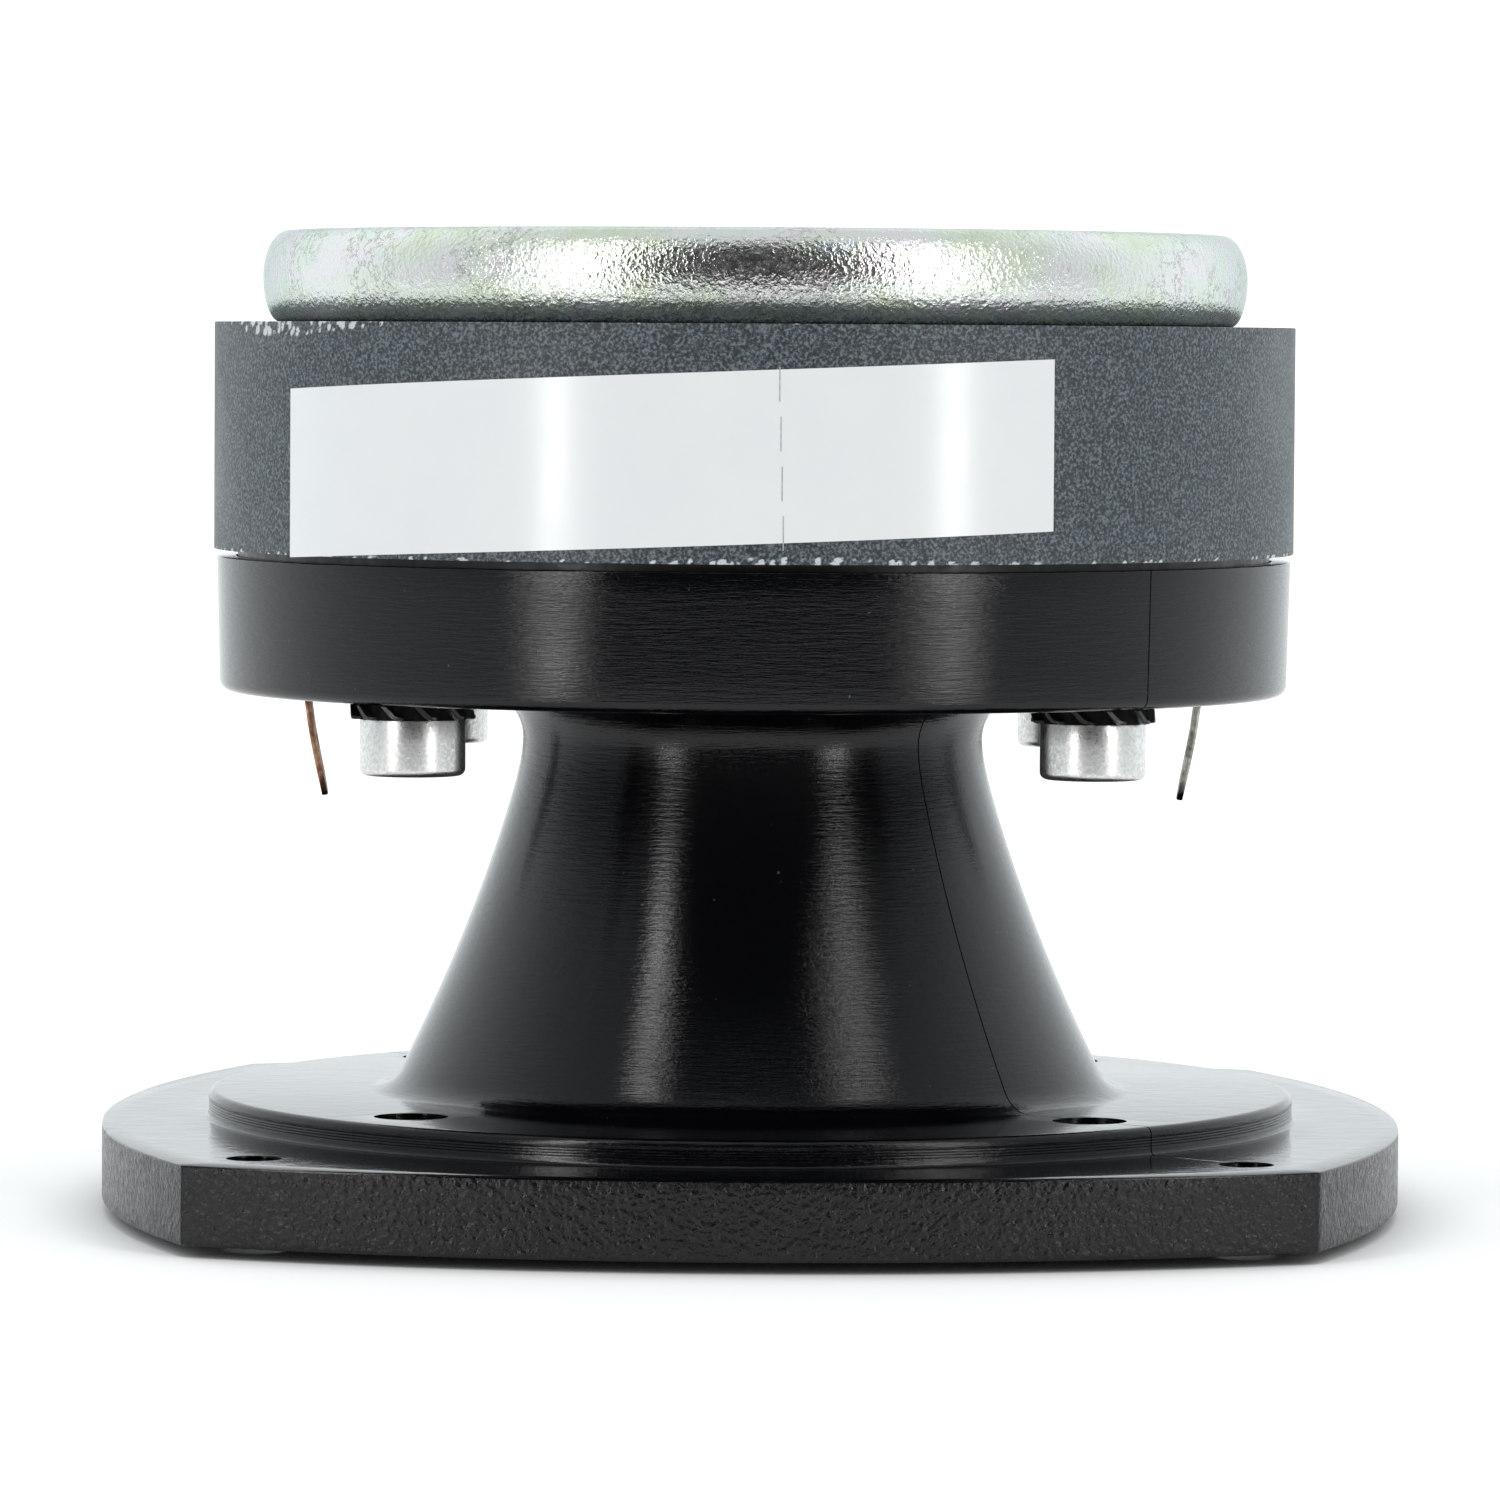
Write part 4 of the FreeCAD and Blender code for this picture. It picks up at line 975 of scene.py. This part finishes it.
print("washers, faces:", len(all_washers.polygons))
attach(washers, "frame")
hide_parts("lock_washer_1", "lock_washer_2", "lock_washer_3", "lock_washer_4")

# %% [markdown]
# ## Solder tabs
# Each tab is a strip that comes down through the disc, leans inward a little and ends in a cut point
# with a hole above it. A rounded section is carried along a bent line, narrowing at the point, and
# the hole is cut at the end.

# %% One tab
TAB_WIDTH = 2.8
TAB_THICKNESS = 0.5
TAB_LINE = [(27.8, 47.82), (32.0, 47.82), (36.4, 47.82), (37.0, 47.72), (37.25, 47.45), (37.33, 47.0),
            (37.35, 44.5), (37.32, 42.9), (37.12, 41.6), (36.90, 40.0), (36.62, 38.4), (36.34, 37.0),
            (36.04, 35.6), (35.92, 35.0), (35.82, 34.45), (35.74, 34.0), (35.73, 33.92)]
TAB_POINT = 35.75
TAB_END = 33.9
TAB_END_HALF = 0.34
TAB_EYE = (36.62, 38.4)
TAB_EYE_RADIUS = 0.65


def tab_mesh(side, finish):
    # The section's corners are given as shares of half the width and half the thickness.
    rounded = [(1, 0.5), (0.94, 1), (-0.94, 1), (-1, 0.5), (-1, -0.5), (-0.94, -1), (0.94, -1), (1, -0.5)]
    work = bmesh.new()
    rings = []
    for i, (x, z) in enumerate(TAB_LINE):
        before, after = TAB_LINE[max(i - 1, 0)], TAB_LINE[min(i + 1, len(TAB_LINE) - 1)]
        along = Vector((after[0] - before[0], after[1] - before[1])).normalized()
        half = TAB_WIDTH / 2
        if z < TAB_POINT:
            half = TAB_END_HALF + (half - TAB_END_HALF) * (z - TAB_END) / (TAB_POINT - TAB_END)
        thick = TAB_THICKNESS / 2 * (0.7 if z < 33.95 else 1.0)
        ring = [(side * (x - along[1] * n * thick) * MM, w * half * MM, (z + along[0] * n * thick) * MM)
                for w, n in rounded]
        rings.append([work.verts.new(point) for point in ring])
    for low, high in zip(rings, rings[1:]):
        for i in range(8):
            j = (i + 1) % 8
            work.faces.new((low[i], low[j], high[j], high[i]))
    work.faces.new(rings[0])
    work.faces.new(rings[-1])
    bmesh.ops.recalc_face_normals(work, faces=work.faces)
    strip = as_mesh(work, "strip")
    work = bmesh.new()
    place = Matrix.Translation((side * TAB_EYE[0] * MM, 0, TAB_EYE[1] * MM))
    bmesh.ops.create_cone(work, cap_ends=True, segments=32, radius1=TAB_EYE_RADIUS * MM,
                          radius2=TAB_EYE_RADIUS * MM, depth=3 * MM,
                          matrix=place @ Matrix.Rotation(math.pi / 2, 4, "Y"))
    made = cut_with(strip, as_mesh(work, "drill"))
    made.materials.clear()
    made.materials.append(finishes[finish])
    return made


# %% Both tabs
TABS = [
    (-1, "blade_left", "terminal_tab_positive", "tab_copper"),
    (1, "blade_right", "terminal_tab_negative", "tab_tin"),
]
for side, name, node, finish in TABS:
    strip = tab_mesh(side, finish)
    blade = show(name, strip)
    smooth(strip, 35)
    print(name, "mm3 and open edges:", outward(strip))
    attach(blade, "frame")
    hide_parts(node)

# %% [markdown]
# ## The label's perforation
# The label is a blank white strip, torn off a roll: four dashes of a perforation still cross it. A
# third tree sets a short dash at equal steps along a line that lies on the magnet's round wall.

# %% The dash tree
DASH_SIZE = (0.0001, 0.00003, 0.0027)

stitch, given = new_tree("dashes", [("Count", "Int"), ("Material", "Material")])
line = add(stitch, "GeometryNodeMeshToCurve", {0: given["Geometry"]}).outputs[0]
spaced = add(stitch, "GeometryNodeResampleCurve", {"Curve": line, "Count": given["Count"]}).outputs[0]
dash = add(stitch, "GeometryNodeMeshCube", {"Size": DASH_SIZE}).outputs["Mesh"]
copies = add(stitch, "GeometryNodeInstanceOnPoints", {"Points": spaced, "Instance": dash}).outputs[0]
close_tree(stitch, copies, given["Material"])
print("dash tree, nodes:", len(stitch.nodes))

# %% Perforation
PERFORATION_TURN = (2.4, 2.95)
PERFORATION_Z = (70.3, 55.6)
LABEL_FACE = 45.12

material, tree, shader = blank_finish("torn_fibre", Roughness=0.9)
shade = ramp(tree, noise(tree, 2500.0), [(0.35, (0.42, 0.43, 0.44)), (0.65, (0.58, 0.59, 0.60))])
tree.links.new(shade, shader.inputs["Base Color"])
finishes["torn_fibre"] = material

ends = []
for turn_at, z in zip(PERFORATION_TURN, PERFORATION_Z):
    t = math.radians(turn_at)
    ends.append((LABEL_FACE * math.sin(t) * MM, -LABEL_FACE * math.cos(t) * MM, z * MM))
low, high = Vector(ends[1]), Vector(ends[0])
first, last = high.lerp(low, 0.11), high.lerp(low, 0.9)
trail = bpy.data.meshes.new("trail")
trail.from_pydata([first, last], [(0, 1)], [])
dashes = bake("label_perforation", trail, stitch, {"Count": 4, "Material": finishes["torn_fibre"]})
perforation = show("label_perforation", dashes)
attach(perforation, "frame")
print("dashes:", len(dashes.polygons) // 6)

# %% [markdown]
# ## Floor and light
# The driver stands on a white table in a white room. Two tall narrow lamps stand in front, 41 degrees
# to each side, as the two bright lines on every round surface say. Between them the room is dark,
# where the camera and its stand are, and it gets brighter towards the back. The world gives that as
# a rule on direction, and is plain white where the camera looks straight at it. The table is white to
# the eye except where the driver shades it, and clear from below, so the underside can be looked at.

# %% Table
TABLE_RADIUS = 0.38
SHADE_REACH = 0.012
TABLE_LIFT = 0.35
work = bmesh.new()
bmesh.ops.create_circle(work, cap_ends=True, segments=128, radius=TABLE_RADIUS)
table_mesh = as_mesh(work, "table")
table = show("table", table_mesh)
material, tree, shader = blank_finish("table_paper", Base_Color=(0.86, 0.86, 0.86, 1.0), Roughness=0.9)
path = add(tree, "ShaderNodeLightPath")
seen = math_node(tree, "MAXIMUM", path.outputs["Is Camera Ray"], path.outputs["Is Glossy Ray"])
open_sky = add(tree, "ShaderNodeAmbientOcclusion", {"Distance": SHADE_REACH}, samples=16).outputs["AO"]
glow = math_node(tree, "MULTIPLY", spread(tree, open_sky, 0.35, 0.85), TABLE_LIFT)
lift = add(tree, "ShaderNodeEmission", {"Strength": math_node(tree, "MULTIPLY", seen, glow)})
both = add(tree, "ShaderNodeAddShader", {0: shader.outputs[0], 1: lift.outputs[0]})
below = add(tree, "ShaderNodeNewGeometry").outputs["Backfacing"]
clear = add(tree, "ShaderNodeBsdfTransparent")
one_way = add(tree, "ShaderNodeMixShader", {0: below, 1: both.outputs[0], 2: clear.outputs[0]})
tree.links.new(one_way.outputs[0], tree.nodes["Material Output"].inputs["Surface"])
table_mesh.materials.append(material)
print("table radius in m:", TABLE_RADIUS)

# %% World
ROOM = [(0.0, 0.035), (0.175, 0.045), (0.215, 0.42), (0.3, 0.55),
        (0.45, 0.75), (0.62, 1.1), (0.8, 1.25), (1.0, 1.25)]
CEILING_FROM, CEILING_FULL = 48, 58
CEILING_LEVEL = 0.78
COOL_WHITE = (0.93, 0.98, 1.0, 1.0)

world = bpy.data.worlds.new("studio")
bpy.context.scene.world = world
world.use_nodes = True
tree = world.node_tree
axes = add(tree, "ShaderNodeSeparateXYZ", {"Vector": add(tree, "ShaderNodeTexCoord").outputs["Generated"]})
across = math_node(tree, "ADD", math_node(tree, "POWER", axes.outputs["X"], 2.0),
                   math_node(tree, "POWER", axes.outputs["Y"], 2.0))
front = math_node(tree, "MULTIPLY", axes.outputs["Y"], -1.0)
toward = math_node(tree, "DIVIDE", front, math_node(tree, "SQRT", across))
azimuth = math_node(tree, "DIVIDE", math_node(tree, "ARCCOSINE", toward), math.pi)
room = ramp(tree, azimuth, [(place, (level, level, level)) for place, level in ROOM])
height = spread(tree, axes.outputs["Z"], math.sin(math.radians(CEILING_FROM)),
                math.sin(math.radians(CEILING_FULL)))
overhead = math_node(tree, "MULTIPLY", height, CEILING_LEVEL)
walls = math_node(tree, "MULTIPLY", room, math_node(tree, "SUBTRACT", 1.0, height))
mapped = math_node(tree, "ADD", walls, overhead)
path = add(tree, "ShaderNodeLightPath")
light = math_node(tree, "MAXIMUM", path.outputs["Is Camera Ray"], mapped)
tree.links.new(light, tree.nodes["Background"].inputs["Strength"])
cool = add(tree, "ShaderNodeMix", {"Factor": path.outputs["Is Camera Ray"], "A": COOL_WHITE,
                                   "B": (1.0, 1.0, 1.0, 1.0)}, data_type="RGBA")
tree.links.new(cool.outputs["Result"], tree.nodes["Background"].inputs["Color"])
print("world nodes:", len(tree.nodes))

# %% Two lamps
LAMP_AZIMUTH = 41.0
LAMP_DISTANCE = 1.0
LAMP_WIDTH = 0.08
LAMP_HEIGHT = 1.3
LAMP_CENTRE = 0.55
LAMP_RADIANCE = 12.0
for side, name in ((-1, "lamp_left"), (1, "lamp_right")):
    lamp = bpy.data.lights.new(name, "AREA")
    lamp.shape = "RECTANGLE"
    lamp.size, lamp.size_y = LAMP_WIDTH, LAMP_HEIGHT
    lamp.energy = LAMP_RADIANCE * math.pi * LAMP_WIDTH * LAMP_HEIGHT
    lamp.color = (1.0, 0.985, 0.965)
    turn = math.radians(LAMP_AZIMUTH) * side
    place = Vector((LAMP_DISTANCE * math.sin(turn), -LAMP_DISTANCE * math.cos(turn), LAMP_CENTRE))
    lamp_object = bpy.data.objects.new(name, lamp)
    look = (Vector((0, 0, LAMP_CENTRE)) - place).to_track_quat("-Z", "Y")
    lamp_object.matrix_world = Matrix.Translation(place) @ look.to_matrix().to_4x4()
    lamp_object.visible_camera = False
    bpy.context.scene.collection.objects.link(lamp_object)
bpy.context.scene.view_settings.view_transform = "Standard"
print("lamps at", LAMP_AZIMUTH, "degrees to each side")
